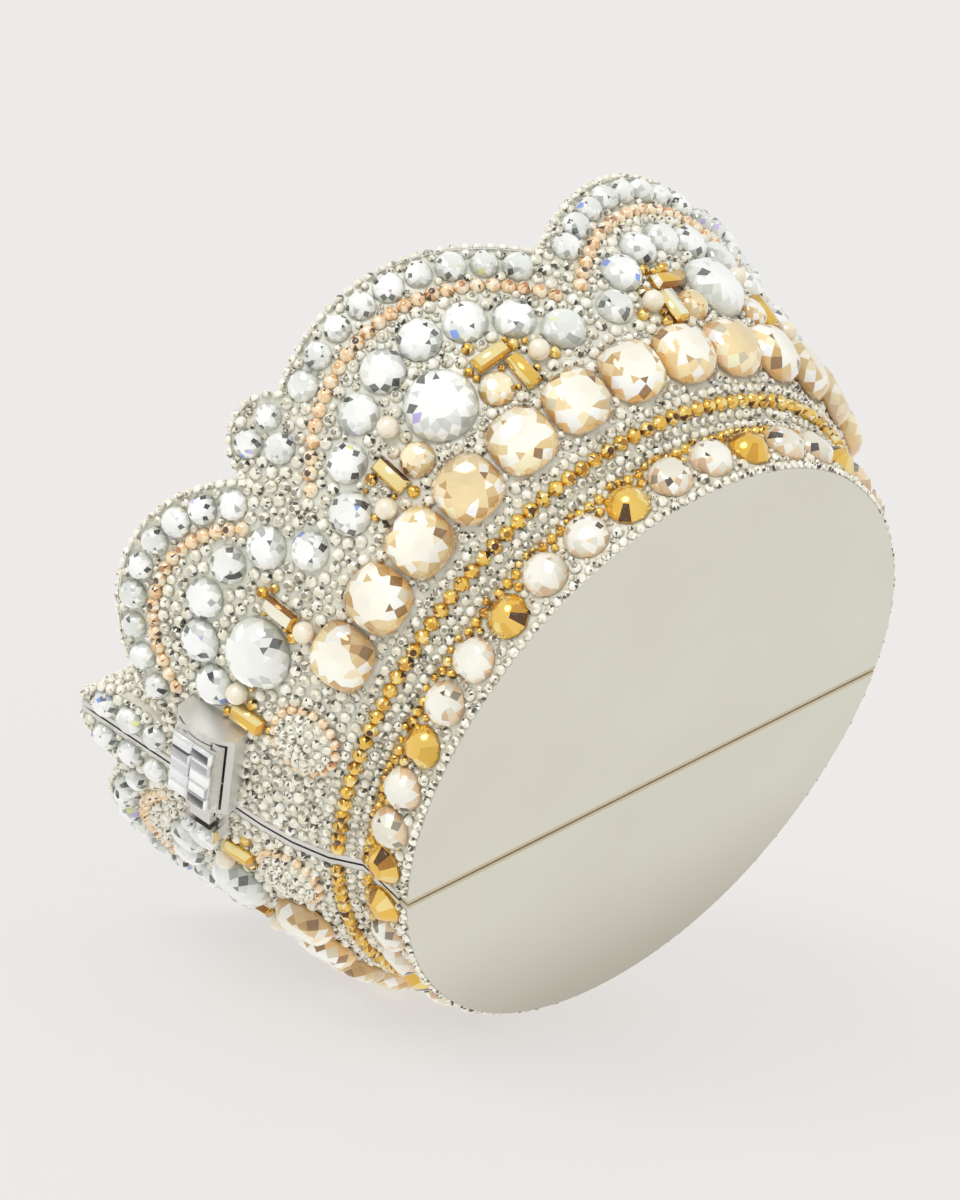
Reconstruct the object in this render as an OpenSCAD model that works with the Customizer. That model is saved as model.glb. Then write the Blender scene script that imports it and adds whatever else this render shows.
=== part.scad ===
// Crown minaudiere: a hard evening bag, set all over with stones.
// Two half shells part on an upright plane, hinge on one side and clasp on the other.
// X runs along the seam with the clasp at -X, Z is up from the base, the origin is at the base's centre.

/* [Plan] */
// Half width of the base, along the seam
base_half_w = 60; // [54:0.5:66]
// Half depth of the base, across the seam
base_half_d = 68; // [62:0.5:74]
// Distance of the seam from the centre
seam_y = 9; // [7:0.5:12]
// Width of the gap at the seam
seam_gap = 0.6; // [0.6:0.1:1.2]

/* [Wall] */
// Height of the upright drum at the base
drum_h = 12.5; // [11.5:0.5:14]
// How far the drum's top stands out from the base edge
drum_out = 0.6; // [0.2:0.1:1]
// Height of the step's top above the drum
step_rise = 5; // [4:0.5:6]
// How far the step's top stands out from the base edge
step_out = 5; // [4:0.25:6]
// Height of the belly above the step
belly_rise = 13.5; // [13:0.5:15]
// How far the belly stands out from the base edge
belly_out = 10.8; // [9.5:0.1:12]
// Outward lean of the upper wall, in degrees
wall_lean = 14; // [10:0.5:16]
// Thickness of the shell
shell_t = 1.6; // [1.2:0.1:2]
// Thickness of the base plate
base_t = 2; // [1.5:0.1:3]

/* [Crown] */
// Height of the four broad lobes
broad_top = 67.5; // [65:0.5:70]
// Radius of a broad lobe's outline
broad_r = 48; // [46:0.5:52]
// Height of the four side lobes
side_top = 72; // [70:0.5:75]
// Radius of a side lobe's outline
side_r = 30; // [28:0.5:32]
// Height of the small knobs between the lobes
knob_top = 67; // [65:0.5:70]
// Radius of a small knob
knob_r = 8.5; // [7.5:0.25:9.5]
// Height of the two knobs on the seam
seam_knob_top = 75; // [73:0.5:79]
// Radius of a seam knob
seam_knob_r = 9.5; // [8.5:0.25:10.5]
// Thickness of the crown's rim
rim_t = 9; // [7:0.5:11]
// Height of the deck's underside
deck_z = 45.5; // [44.5:0.5:46]
// Thickness of the deck
deck_t = 1.5; // [1:0.1:2]

/* [Seam frame and lining] */
// Thickness of the frame on each parting face
frame_t = 1.2; // [0.8:0.1:1.6]
// Width of the frame
frame_w = 3.2; // [3:0.1:4]
// How far the frame stands proud of the wall
frame_proud = 0.4; // [0:0.1:0.8]
// Thickness of the lining
lining_t = 0.8; // [0.5:0.1:1]

/* [Hinge] */
// Length of the hinge
hinge_len = 25; // [20:0.5:26]
// Height of the hinge's lower end on the wall
hinge_z = 33; // [32:0.5:34]
// Distance of the hinge pin's axis from the wall
hinge_off = 3.6; // [3.5:0.1:4.2]
// Radius of the hinge knuckles
knuckle_r = 2; // [1.8:0.1:2.1]
// Radius of the hinge pin
pin_r = 0.85; // [0.7:0.05:1]
// Radial clearance of the pins in their bores
pin_clear = 0.05; // [0.02:0.01:0.1]
// Width of each hinge leaf
leaf_w = 9; // [8:0.5:9.5]
// Thickness of each hinge leaf
leaf_t = 1; // [0.8:0.1:1.2]
// Radius of a hinge screw's shank
screw_r = 0.6; // [0.5:0.05:0.7]

/* [Clasp] */
// Length of the clasp's case along the rim
case_len = 19.5; // [19:0.5:22]
// Height of the clasp's case
case_h = 14; // [13.5:0.5:15]
// Height of the clasp's centre on the wall
clasp_z = 43; // [42:0.5:45]
// How far the clasp's case stands out from the wall
case_out = 6.6; // [6.6:0.1:7]
// Thickness of the case's walls
case_t = 1.1; // [1:0.1:1.3]
// Travel of the push button
button_travel = 1; // [0.8:0.05:1]
// Length of the latch lever's tail, from pin to button
tail_arm = 8; // [7.5:0.25:8]

/* [Stones] */
// Diameter of the round stones in the base band
band_d = 8.5; // [7.5:0.25:9]
// Spacing of the stones in the base band
band_pitch = 9.7; // [9.3:0.1:11]
// Width of a champagne cushion stone
cushion_w = 12; // [11:0.25:12.5]
// Spacing of the champagne cushion stones
cushion_pitch = 12.9; // [12.7:0.1:14]
// Diameter of the large round crystals
round_d = 14; // [12:0.5:15]
// Diameter of the medium round crystals
medium_d = 8.4; // [7:0.1:8.5]
// Diameter of the round crystals along the crown's edge
edge_d = 5.8; // [5:0.2:6.2]
// Diameter of the gold beads
gold_bead_d = 2.9; // [2.5:0.1:3]
// Diameter of the rose gold beads
rose_bead_d = 2.6; // [2.2:0.1:2.8]
// Diameter of the pearls
pearl_d = 4.2; // [3.6:0.1:4.4]
// Length of a gold baguette
baguette_l = 7.4; // [6.5:0.1:8]
// Width of a gold baguette
baguette_w = 3.4; // [3:0.1:3.6]

/* [Hidden] */
$fn = 48;
part_fn = 24;
wall_fn = 240;
cut = 1;
fit = 0.05;
skin_gap = 0.15;
half_gap = seam_gap / 2;
top_z = seam_knob_top + cut;
reach = base_half_d + 2 * top_z;

// The plan is a four-centre oval: wide arcs face X and tight arcs face Y, and they meet at 45 degrees.
centre_shift = (base_half_d - base_half_w) * (1 + 1 / sqrt(2));
wide_r = base_half_w + centre_shift;
tight_r = base_half_d - centre_shift;
function faces_x(phi) = abs(cos(phi)) >= abs(sin(phi)) - 0.000001;
function plan_r(phi) = faces_x(phi) ? wide_r : tight_r;
function centre(phi) = faces_x(phi) ? [-sign(cos(phi)) * centre_shift, 0] : [0, sign(sin(phi)) * centre_shift];

// The wall stands out from the base edge by wall_out(z) at height z.
step_z = drum_h + step_rise;
belly_z = step_z + belly_rise;
mid_z = (step_z + belly_z) / 2;
mid_share = 0.6;
mid_out = step_out + mid_share * (belly_out - step_out);
wall_breaks = [[0, 0], [drum_h, drum_out], [step_z, step_out], [mid_z, mid_out], [belly_z, belly_out],
    [top_z, belly_out + (top_z - belly_z) * tan(wall_lean)]];
function wall_out(z) = lookup(z, wall_breaks);
function break_above(z) = min([for (b = [1:len(wall_breaks) - 1]) if (wall_breaks[b][0] > z) b]);
function wall_tilt(z) = let (b = break_above(z))
    atan((wall_breaks[b][1] - wall_breaks[b - 1][1]) / (wall_breaks[b][0] - wall_breaks[b - 1][0]));
function heights(za, zb) = concat([za], [for (b = wall_breaks) if (b[0] > za && b[0] < zb) b[0]], [zb]);
function face_line(off, za, zb) = [for (z = heights(za, zb)) [wall_out(z) + off, z]];
function backwards(list) = [for (i = [len(list) - 1:-1:0]) list[i]];

// Turns a profile of [distance out from the base edge, height] round the oval plan.
module oval_turn(profile)
    for (quarter = [0:3])
        translate(concat(centre(quarter * 90), [0]))
            rotate([0, 0, quarter * 90 - 45])
                rotate_extrude(angle = 90, $fn = wall_fn)
                    polygon([for (p = profile) [max(0, plan_r(quarter * 90) + p[0]), p[1]]]);
// A full solid under the wall's face, moved out by off.
module filled(off, za, zb) oval_turn(concat([[-reach, za]], face_line(off, za, zb), [[-reach, zb]]));
// A layer of the wall between two offsets.
module layer(outer, inner, za, zb)
    oval_turn(concat(face_line(outer, za, zb), backwards(face_line(inner, za, zb))));

// Everything in front of, or behind, the seam, kept back by a distance.
module front_side(back = 0)
    intersection() {
        children();
        translate([-reach, -reach, -cut]) cube([2 * reach, reach + seam_y - half_gap - back, top_z + 2 * cut]);
    }
module back_side(back = 0)
    intersection() {
        children();
        translate([-reach, seam_y + half_gap + back, -cut]) cube([2 * reach, reach, top_z + 2 * cut]);
    }

// The lobes of a side. The front and the back have their own directions, counted from the seam's ends,
// and side is 1 for the front and -1 for the back.
function side_phi(side) = side > 0 ? 19 : 24;
function broad_phi(side) = side > 0 ? 62 : 64;
function knob_phi(side) = side > 0 ? 41 : 44;
function ends(phi, side) = [side * (phi - 180), -side * phi];
valley_z = deck_z + deck_t;
module beam(phi, height, radius)
    translate(concat(centre(phi), [height - radius])) rotate([0, 0, phi]) rotate([0, 90, 0])
        cylinder(r = radius, h = reach, $fn = 96);
module neck(phi, height, radius)
    translate(concat(centre(phi), [0])) rotate([0, 0, phi]) translate([0, -radius, 0])
        cube([reach, 2 * radius, height - radius]);
// The seam knobs are one round beam along the seam, on both sides of the crown.
module seam_knobs() {
    translate([-reach, seam_y, seam_knob_top - seam_knob_r]) rotate([0, 90, 0])
        cylinder(r = seam_knob_r, h = 2 * reach, $fn = 96);
    translate([-reach, seam_y - seam_knob_r, 0]) cube([2 * reach, 2 * seam_knob_r, seam_knob_top - seam_knob_r]);
}
module under_scallops(side) {
    translate([-reach, -reach, -cut]) cube([2 * reach, 2 * reach, valley_z + cut]);
    for (phi = ends(side_phi(side), side)) beam(phi, side_top, side_r);
    for (phi = ends(broad_phi(side), side)) beam(phi, broad_top, broad_r);
    for (phi = ends(knob_phi(side), side)) {
        beam(phi, knob_top, knob_r);
        neck(phi, knob_top, knob_r);
    }
    seam_knobs();
}

// Puts a stone on the wall at a direction and height: its Z points out of the wall, its X down the wall.
module on_wall(phi, z)
    translate(concat(centre(phi), [0])) rotate([0, 0, phi]) translate([plan_r(phi) + wall_out(z), 0, z])
        rotate([0, 90 + wall_tilt(z), 0]) translate([0, 0, fit]) children();
// The length of wall over an eighth facing X, and over the quarter facing Y.
function arc_x(z) = (wide_r + wall_out(z)) * PI / 4;
function arc_y(z) = (tight_r + wall_out(z)) * PI / 2;
function half_turn(z) = 2 * arc_x(z) + arc_y(z);
function phi_at(s, z) = s < arc_x(z) ? -180 + 45 * s / arc_x(z)
    : s < arc_x(z) + arc_y(z) ? -135 + 90 * (s - arc_x(z)) / arc_y(z)
    : -45 + 45 * (s - arc_x(z) - arc_y(z)) / arc_x(z);
// Places of a row on one side, evenly spread between two points a length start from the clasp and hinge.
function row(side, z, pitch, start) =
    let (whole = half_turn(z) - 2 * start, n = floor(whole / pitch))
    [for (i = [0:n]) [side * phi_at(start + i * whole / n, z), z]];
// A row that runs from seam to seam, its first and last stones kept inset away from the seam.
function seam_row(side, z, pitch, inset) = row(side, z, pitch, inset - side * seam_y);
// The length of wall from the clasp's end round to a direction in front, and the place that lies
// x along the wall and y up from another one.
function length_at(phi, z) = let (p = phi + 180) p < 45 ? p / 45 * arc_x(z)
    : p < 135 ? arc_x(z) + (p - 45) / 90 * arc_y(z)
    : arc_x(z) + arc_y(z) + (p - 135) / 45 * arc_x(z);
function beside(phi, z, x, y) = let (m = phi > 0 ? -1 : 1)
    [m * phi_at(length_at(m * phi, z + y) + m * x, z + y), z + y];
function round_to(phi, z, radius, angle) = beside(phi, z, radius * sin(angle), radius * cos(angle));

seam_clear = half_gap + frame_t + 2 * skin_gap;

// The hinge's own frame has its Z along the pin and its X out of the wall.
hinge_x = sqrt(pow(wide_r + wall_out(hinge_z), 2) - pow(seam_y, 2)) - centre_shift + hinge_off / cos(wall_lean);
module at_hinge() translate([hinge_x, seam_y, hinge_z]) rotate([0, wall_lean, 0]) children();
knuckles = 5;
knuckle_gap = 0.3;
knuckle_h = (hinge_len - (knuckles - 1) * knuckle_gap) / knuckles;
web_over = 1;
web_reach = hinge_off - frame_proud - knuckle_gap;
rivet_head_t = 0.8;
rivet_head_r = 1.4;
screw_head_r = 1.1;
screw_head_t = 0.5;
screw_w_shares = [0.42, 0.8];
screw_h_shares = [0.2, 0.8];
module at_screws(side)
    for (w = screw_w_shares, h = screw_h_shares)
        let (z = hinge_z + h * hinge_len * cos(wall_lean))
            on_wall(asin((seam_y - side * w * leaf_w) / (wide_r + wall_out(z))), z) children();
module screw_bores(side) at_screws(side) translate([0, 0, -3 * shell_t])
    cylinder(r = screw_r + fit, h = 3 * shell_t + 2 * leaf_t, $fn = part_fn);
module hinge_screws(side)
    at_screws(side) {
        translate([0, 0, -shell_t])
            cylinder(r = screw_r, h = shell_t + leaf_t + fit + screw_head_t, $fn = part_fn);
        translate([0, 0, leaf_t + fit]) cylinder(r = screw_head_r, h = screw_head_t, $fn = part_fn);
    }
// Half a hinge: a leaf that hugs the wall, and knuckles on webs that step over the frame.
module hinge_leaf(side, first)
    difference() {
        union() {
            intersection() {
                layer(leaf_t, fit, hinge_z - hinge_len, hinge_z + 2 * hinge_len);
                at_hinge() translate([-2 * hinge_off, side > 0 ? -leaf_w : half_gap + frame_t + fit, 0])
                    cube([3 * hinge_off, leaf_w - half_gap - frame_t - fit, hinge_len]);
            }
            at_hinge() for (k = [first:2:knuckles - 1]) translate([0, 0, k * (knuckle_h + knuckle_gap)]) {
                cylinder(r = knuckle_r, h = knuckle_h, $fn = part_fn);
                translate([-web_reach, side > 0 ? -half_gap - frame_t - web_over : knuckle_gap, 0])
                    cube([web_reach, half_gap + frame_t + web_over - knuckle_gap, knuckle_h]);
            }
        }
        at_hinge() translate([0, 0, -cut]) cylinder(r = pin_r + pin_clear, h = hinge_len + 2 * cut, $fn = part_fn);
        screw_bores(side);
    }

// The clasp's own frame has its X into the wall and its Z up the wall.
clasp_x = base_half_w + wall_out(clasp_z);
module at_clasp() translate([-clasp_x, 0, clasp_z]) rotate([0, -wall_lean, 0]) children();
module saddle() filled(fit, clasp_z - 2 * case_h, clasp_z + 2 * case_h);
case_end = seam_y - half_gap - frame_t - 2 * fit;
case_start = case_end - case_len;
case_crown_r = 11;
case_back = 3;
floor_t = 0.4;
lip_t = 0.8;
lip_w = 0.9;
flange_t = 0.6;
run = 0.3;
button_proud = 0.4;
button_top = case_out + button_proud;
button_under = case_out - lip_t - run - flange_t;
lever_over = 1.2;
lever_x = floor_t + run + button_travel * (tail_arm + lever_over) / tail_arm;
lever_t = 1;
lever_h = 5;
pivot_y = 1;
pivot_x = lever_x + lever_t / 2;
latch_pin_r = 0.7;
boss_r = 1.2;
catch_y = seam_y + half_gap + frame_t + run;
keeper_y = catch_y + 2 * run;
keeper_t = 1.2;
keeper_h = 8;
tooth_y = keeper_y + keeper_t + run;
tooth_l = 1.4;
tooth_tip = 0.5;
stem_r = 0.9;
spring_r = 0.9;
spring_wire = 0.35;
spring_y = case_start + case_t + spring_r + 2 * fit;
catch_h = 10;
lug_l = 3.4;
lug_out = 3.2;
lug_y = tooth_y + tooth_l + 3 * run;
catch_len = lug_y + lug_l - catch_y;
catch_stone_d = 3.3;
set_stone_t = 0.9;
set_stones = 5;

// A block in the clasp's frame, from the wall out to a height, between two places along the seam.
module clasp_block(from_out, to_out, y0, y1, h)
    translate([-to_out, y0, -h / 2]) cube([to_out - from_out, y1 - y0, h]);
module case_crown(over)
    translate([case_crown_r + over - case_out, case_start - cut, 0]) rotate([-90, 0, 0])
        cylinder(r = case_crown_r, h = case_len + 2 * cut, $fn = 96);

band_z_share = 0.52;
band_z = band_z_share * drum_h;
band_stone_h = 3;
bead_row_share = 0.76;
bead_row_z = drum_h + bead_row_share * step_rise;
pave_w = 1.4;
pave_t = 0.9;
pave_edge = 0.3;
cushion_rise = 1.3;
cushion_z = mid_z + cushion_rise;
cushion_h = 4;
cushion_steps = 12;
cushion_start = (half_turn(cushion_z) - cushion_steps * cushion_pitch) / 2;
stone_h = 2.2;
round_h = 4;
bead_h = 1.2;
catch_stone_h = 1.1;
edge_inset = 3.6;
rose_inset = 8.1;
medium_inset = 15.3;
round_z = 39.8;
ring_r = 19.8;
ring_aside = 3.9;
ring_down = 5.5;
motif_r = 6.6;
motif_t = 1.1;
function motif_phi(side) = side > 0 ? 11.5 : 14.5;
knob_row_shares = [0.59, 1.22];
knob_step_share = 0.365;
seam_knob_shares = [0.63, 1.28, 1.94];

// Stone shapes, flat at the back. A girdle stands upright below the sloping crown facets.
girdle_share = 0.3;
table_share = 0.55;
corner_share = 0.57;
pearl_rise_share = 0.42;
module turned_stone(r, h, tip_share)
    rotate_extrude($fn = part_fn)
        polygon([[0, 0], [r, 0], [r, girdle_share * h], [tip_share * r, h], [0, h]]);
module cushion_stone(w, h)
    intersection() {
        translate([-w / 2, -w / 2, 0]) cube([w, w, h]);
        turned_stone(corner_share * w, h, table_share);
    }
module pearl(d)
    difference() {
        translate([0, 0, pearl_rise_share * d]) sphere(d = d, $fn = part_fn);
        translate([-d, -d, -2 * d]) cube([2 * d, 2 * d, 2 * d]);
    }
module stones(places, d, h)
    for (p = places) on_wall(p[0], p[1]) turned_stone(d / 2, h, table_share);

// How a lobe's left to right order turns over, so that the two ends of the crown mirror each other.
function turn(phi) = abs(phi) > 90 ? 1 : -1;
function side_sign(side, phi) = side * turn(phi);
function broad_round(phi, side) = [phi - side_sign(side, phi), round_z];
function broad_mediums(phi, side) = [for (i = [0:side > 0 ? 7 : 6])
    round_to(phi, broad_top - broad_r, broad_r - medium_inset, side_sign(side, phi) * (-54 + 15.5 * i))];
function side_mediums(phi, side) = [for (i = [0:side > 0 ? 5 : 4]) let (a = -54 + 25 * i)
    beside(phi, round_z - ring_down, side_sign(side, phi) * (ring_aside + ring_r * sin(a)), ring_r * cos(a))];
function broad_edges(phi, side) = [for (i = [0:8])
    round_to(phi, broad_top - broad_r, broad_r - edge_inset, side_sign(side, phi) * (-22 + 7.8 * i))];
function side_edges(phi, side) = [for (i = [side > 0 ? 0 : 1:8])
    round_to(phi, side_top - side_r, side_r - edge_inset, side_sign(side, phi) * (-54 + 13.4 * i))];
function broad_rose(phi, side) = [for (i = [0:side > 0 ? 24 : 23])
    round_to(phi, broad_top - broad_r, broad_r - rose_inset, side_sign(side, phi) * (-46 + 4 * i))];
function side_rose(phi, side) = [for (i = [side > 0 ? 0 : 1:16])
    round_to(phi, side_top - side_r, side_r - rose_inset, side_sign(side, phi) * (-58 + 7.2 * i))];
function knob_stones(phi) = concat(
    [for (s = [-1, 1]) beside(phi, knob_top - knob_row_shares[0] * knob_r, s * knob_step_share * knob_r, 0)],
    [beside(phi, knob_top - knob_row_shares[1] * knob_r, 0, 0)]);
// Stones on the half of each seam knob that belongs to a side, in a column beside the frame.
// The hinge leaves room for only the upper ones at its end.
function seam_knob_stones(side) = let (y = seam_y - side * (edge_d / 2 + seam_clear))
    [for (i = [0:2], end = [0, 1]) let (z = seam_knob_top - seam_knob_shares[i] * seam_knob_r,
        phi = asin(y / (wide_r + wall_out(z)))) if (i < 2 || end == 1) [end == 0 ? phi : 180 - phi, z]];

// Baguettes, pearls and champagne stones lie round each large crystal: [along, up] in shares of its diameter.
broad_upright_shares = [[-1.07, -0.19], [1.12, -0.31]];
broad_level_shares = [[0.93, 0.09]];
side_upright_shares = [[-0.97, -0.18], [0.69, -0.03]];
broad_pearl_shares = [[-0.67, 0.25], [-1.4, -0.45], [1.45, -0.21]];
side_pearl_shares = [[0.69, -0.46], [-0.68, 0.05]];
champagne_shares = [[-0.69, -0.3], [0.69, -0.3]];
champagne_d = 6.2;
function spread(phi, z, side, shares) = [for (s = shares)
    beside(phi, z, side_sign(side, phi) * s[0] * round_d, s[1] * round_d)];
function round_broad_set(side, shares) = [for (phi = ends(broad_phi(side), side))
    let (c = broad_round(phi, side)) each spread(c[0], c[1], side, shares)];
function round_side_set(side, shares) = [for (phi = ends(side_phi(side), side))
    each spread(phi, round_z, side, shares)];
module upright(places) for (p = places) on_wall(p[0], p[1])
    translate([-baguette_l / 2, -baguette_w / 2, 0]) cube([baguette_l, baguette_w, stone_h]);
module level(places) for (p = places) on_wall(p[0], p[1])
    translate([-baguette_w / 2, -baguette_l / 2, 0]) cube([baguette_w, baguette_l, stone_h]);

module shell(side)
    difference() {
        intersection() {
            layer(0, -shell_t, base_t, top_z);
            under_scallops(side);
        }
        screw_bores(side);
    }
module lining() {
    out = shell_t + skin_gap;
    difference() {
        filled(-out, base_t + skin_gap, deck_z - skin_gap);
        filled(-out - lining_t, base_t + skin_gap + lining_t, deck_z - skin_gap - lining_t);
    }
}
module crown_rim(side)
    intersection() {
        layer(-shell_t - fit, -rim_t, valley_z, top_z);
        under_scallops(side);
    }
module edge_frame()
    difference() {
        intersection() {
            filled(frame_proud, base_t, top_z);
            union() {
                translate([-reach, -reach, -cut]) cube([2 * reach, 2 * reach, valley_z + cut]);
                seam_knobs();
            }
        }
        filled(-frame_w, base_t + frame_w, deck_z);
        filled(-rim_t, valley_z, top_z + cut);
    }
module pave_rows()
    for (z = [0, drum_h, step_z - fit]) layer(pave_t, fit, z + pave_edge, z + pave_edge + pave_w);

module front_shell() color("gainsboro") front_side(frame_t) shell(1);
module back_shell() color("gainsboro") back_side(frame_t) shell(-1);
module front_base_plate() color("lightgray") front_side() filled(0, 0, base_t);
module back_base_plate() color("lightgray") back_side() filled(0, 0, base_t);
module front_lining() color("antiquewhite") front_side(frame_t + skin_gap) lining();
module back_lining() color("antiquewhite") back_side(frame_t + skin_gap) lining();
module front_top_deck() color("silver") front_side(frame_t) filled(-shell_t - fit, deck_z, valley_z);
module back_top_deck() color("silver") back_side(frame_t) filled(-shell_t - fit, deck_z, valley_z);
module front_crown_rim() color("gainsboro") front_side(frame_t) crown_rim(1);
module back_crown_rim() color("gainsboro") back_side(frame_t) crown_rim(-1);
module front_edge_frame()
    color("silver") intersection() {
        edge_frame();
        translate([-reach, seam_y - half_gap - frame_t, 0]) cube([2 * reach, frame_t, top_z]);
    }
module back_edge_frame()
    color("silver") intersection() {
        edge_frame();
        translate([-reach, seam_y + half_gap, 0]) cube([2 * reach, frame_t, top_z]);
    }

module hinge_leaf_front() color("silver") hinge_leaf(1, 0);
module hinge_leaf_back() color("silver") hinge_leaf(-1, 1);
module hinge_pin()
    color("silver") at_hinge() {
        head_z = -knuckle_gap - rivet_head_t;
        translate([0, 0, head_z]) cylinder(r = pin_r, h = hinge_len - 2 * head_z, $fn = part_fn);
        for (z = [head_z, hinge_len + knuckle_gap]) translate([0, 0, z])
            cylinder(r = rivet_head_r, h = rivet_head_t, $fn = part_fn);
    }
module hinge_screws_front() color("silver") hinge_screws(1);
module hinge_screws_back() color("silver") hinge_screws(-1);

module clasp_case()
    color("silver") difference() {
        at_clasp() difference() {
            intersection() {
                clasp_block(-case_back, case_out, case_start, case_end, case_h);
                case_crown(button_proud);
            }
            clasp_block(floor_t, case_out - lip_t, case_start + case_t, case_end - case_t, case_h - 2 * case_t);
            clasp_block(floor_t, case_out + cut, case_start + case_t + lip_w, case_end - case_t - lip_w,
                case_h - 2 * case_t - 2 * lip_w);
            clasp_block(lever_x - run, button_under, case_end - 2 * case_t, case_end + cut, lever_h + 2 * run);
            translate([-pivot_x, pivot_y, -case_h / 2 + case_t / 2])
                cylinder(r = latch_pin_r + pin_clear, h = case_h - case_t, $fn = part_fn);
        }
        saddle();
    }
module clasp_button()
    color("silver") at_clasp() {
        clasp_block(button_under, button_top, case_start + case_t + lip_w + run / 2,
            case_end - case_t - lip_w - run / 2, case_h - 2 * case_t - 2 * lip_w - run);
        clasp_block(button_under, button_under + flange_t, case_start + case_t + run,
            case_end - case_t - run, case_h - 2 * case_t - 2 * run);
        translate([-button_under - flange_t / 2, pivot_y - tail_arm, 0]) rotate([0, 90, 0])
            cylinder(r = stem_r, h = button_under + flange_t / 2 - lever_x - lever_t - run, $fn = part_fn);
    }
module clasp_set_stones()
    color("whitesmoke") at_clasp() {
        first = case_start + case_t + lip_w + run;
        step = (case_end - case_t - lip_w - run - first) / set_stones;
        for (y = [first:step:first + (set_stones - 0.5) * step])
            clasp_block(button_top + fit, button_top + set_stone_t, y + fit, y + step - fit,
                case_h - 2 * case_t - 2 * lip_w - 2 * run);
    }
module latch_lever()
    color("silver") at_clasp() difference() {
        union() {
            clasp_block(lever_x, lever_x + lever_t, pivot_y - tail_arm - lever_over, tooth_y + tooth_l, lever_h);
            clasp_block(tooth_tip, lever_x + lever_t, tooth_y, tooth_y + tooth_l, lever_h);
            translate([-pivot_x, pivot_y, -lever_h / 2]) cylinder(r = boss_r, h = lever_h, $fn = part_fn);
        }
        translate([-pivot_x, pivot_y, -lever_h])
            cylinder(r = latch_pin_r + pin_clear, h = 2 * lever_h, $fn = part_fn);
    }
module latch_pin()
    color("silver") at_clasp() translate([-pivot_x, pivot_y, -case_h / 2 + case_t / 2 + fit])
        cylinder(r = latch_pin_r, h = case_h - case_t - 2 * fit, $fn = part_fn);
module button_spring()
    color("silver") at_clasp() translate([-button_under + fit, spring_y, 0]) rotate([0, 90, 0])
        difference() {
            cylinder(r = spring_r, h = button_under - floor_t - 2 * fit, $fn = part_fn);
            translate([0, 0, -cut]) cylinder(r = spring_r - spring_wire, h = button_under + 2 * cut, $fn = part_fn);
        }
module catch_plate()
    color("silver") difference() {
        at_clasp() difference() {
            union() {
                clasp_block(-case_back, floor_t, catch_y, catch_y + catch_len, catch_h);
                clasp_block(-case_back, lever_x - run, keeper_y, keeper_y + keeper_t, keeper_h);
                clasp_block(-case_back, lug_out, lug_y, lug_y + lug_l, keeper_h);
            }
            clasp_block(-2 * case_back, lug_out + cut, keeper_y + keeper_t, tooth_y + tooth_l + 2 * run,
                lever_h + 2 * run);
        }
        saddle();
    }
module catch_stones()
    color("whitesmoke") at_clasp()
        for (up = [-1, 1]) translate([-lug_out - fit, lug_y + lug_l / 2, up * (catch_stone_d / 2 + run)])
            rotate([0, -90, 0]) turned_stone(catch_stone_d / 2, catch_stone_h, table_share);

// Every third stone of the base band is gold.
module band_stones(side, gold) {
    places = seam_row(side, band_z, band_pitch, band_d / 2 + seam_clear);
    stones([for (i = [0:len(places) - 1]) if ((i % 3 == 0) == gold) places[i]], band_d, band_stone_h);
}
module gold_band_stones_front() color("goldenrod") band_stones(1, true);
module gold_band_stones_back() color("goldenrod") band_stones(-1, true);
module clear_band_stones_front() color("mistyrose") band_stones(1, false);
module clear_band_stones_back() color("mistyrose") band_stones(-1, false);
module gold_beads(side)
    stones(seam_row(side, bead_row_z, gold_bead_d + 2 * fit, gold_bead_d / 2 + seam_clear), gold_bead_d, bead_h);
module gold_beads_front() color("gold") gold_beads(1);
module gold_beads_back() color("gold") gold_beads(-1);
module pave_rows_front() color("white") front_side(seam_clear) pave_rows();
module pave_rows_back() color("white") back_side(seam_clear) pave_rows();
module champagne_cushions(side)
    for (p = row(side, cushion_z, cushion_pitch - fit, cushion_start)) on_wall(p[0], p[1])
        cushion_stone(cushion_w, cushion_h);
module champagne_cushions_front() color("burlywood") champagne_cushions(1);
module champagne_cushions_back() color("burlywood") champagne_cushions(-1);
module large_crystals(side)
    stones(concat([for (phi = ends(broad_phi(side), side)) broad_round(phi, side)],
        [for (phi = ends(side_phi(side), side)) [phi, round_z]]), round_d, round_h);
module large_crystals_front() color("azure") large_crystals(1);
module large_crystals_back() color("azure") large_crystals(-1);
module medium_crystals(side)
    stones(concat([for (phi = ends(broad_phi(side), side)) each broad_mediums(phi, side)],
        [for (phi = ends(side_phi(side), side)) each side_mediums(phi, side)]), medium_d, stone_h);
module medium_crystals_front() color("aliceblue") medium_crystals(1);
module medium_crystals_back() color("aliceblue") medium_crystals(-1);
module edge_crystals(side)
    stones(concat([for (phi = ends(broad_phi(side), side)) each broad_edges(phi, side)],
        [for (phi = ends(side_phi(side), side)) each side_edges(phi, side)],
        [for (phi = ends(knob_phi(side), side)) each knob_stones(phi)], seam_knob_stones(side)), edge_d, stone_h);
module edge_crystals_front() color("ghostwhite") edge_crystals(1);
module edge_crystals_back() color("ghostwhite") edge_crystals(-1);
module rose_beads(side)
    stones(concat([for (phi = ends(broad_phi(side), side)) each broad_rose(phi, side)],
        [for (phi = ends(side_phi(side), side)) each side_rose(phi, side)]), rose_bead_d, bead_h);
module rose_beads_front() color("darksalmon") rose_beads(1);
module rose_beads_back() color("darksalmon") rose_beads(-1);
module gold_baguettes(side) {
    upright(concat(round_broad_set(side, broad_upright_shares), round_side_set(side, side_upright_shares)));
    level(round_broad_set(side, broad_level_shares));
}
module gold_baguettes_front() color("gold") gold_baguettes(1);
module gold_baguettes_back() color("gold") gold_baguettes(-1);
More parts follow.
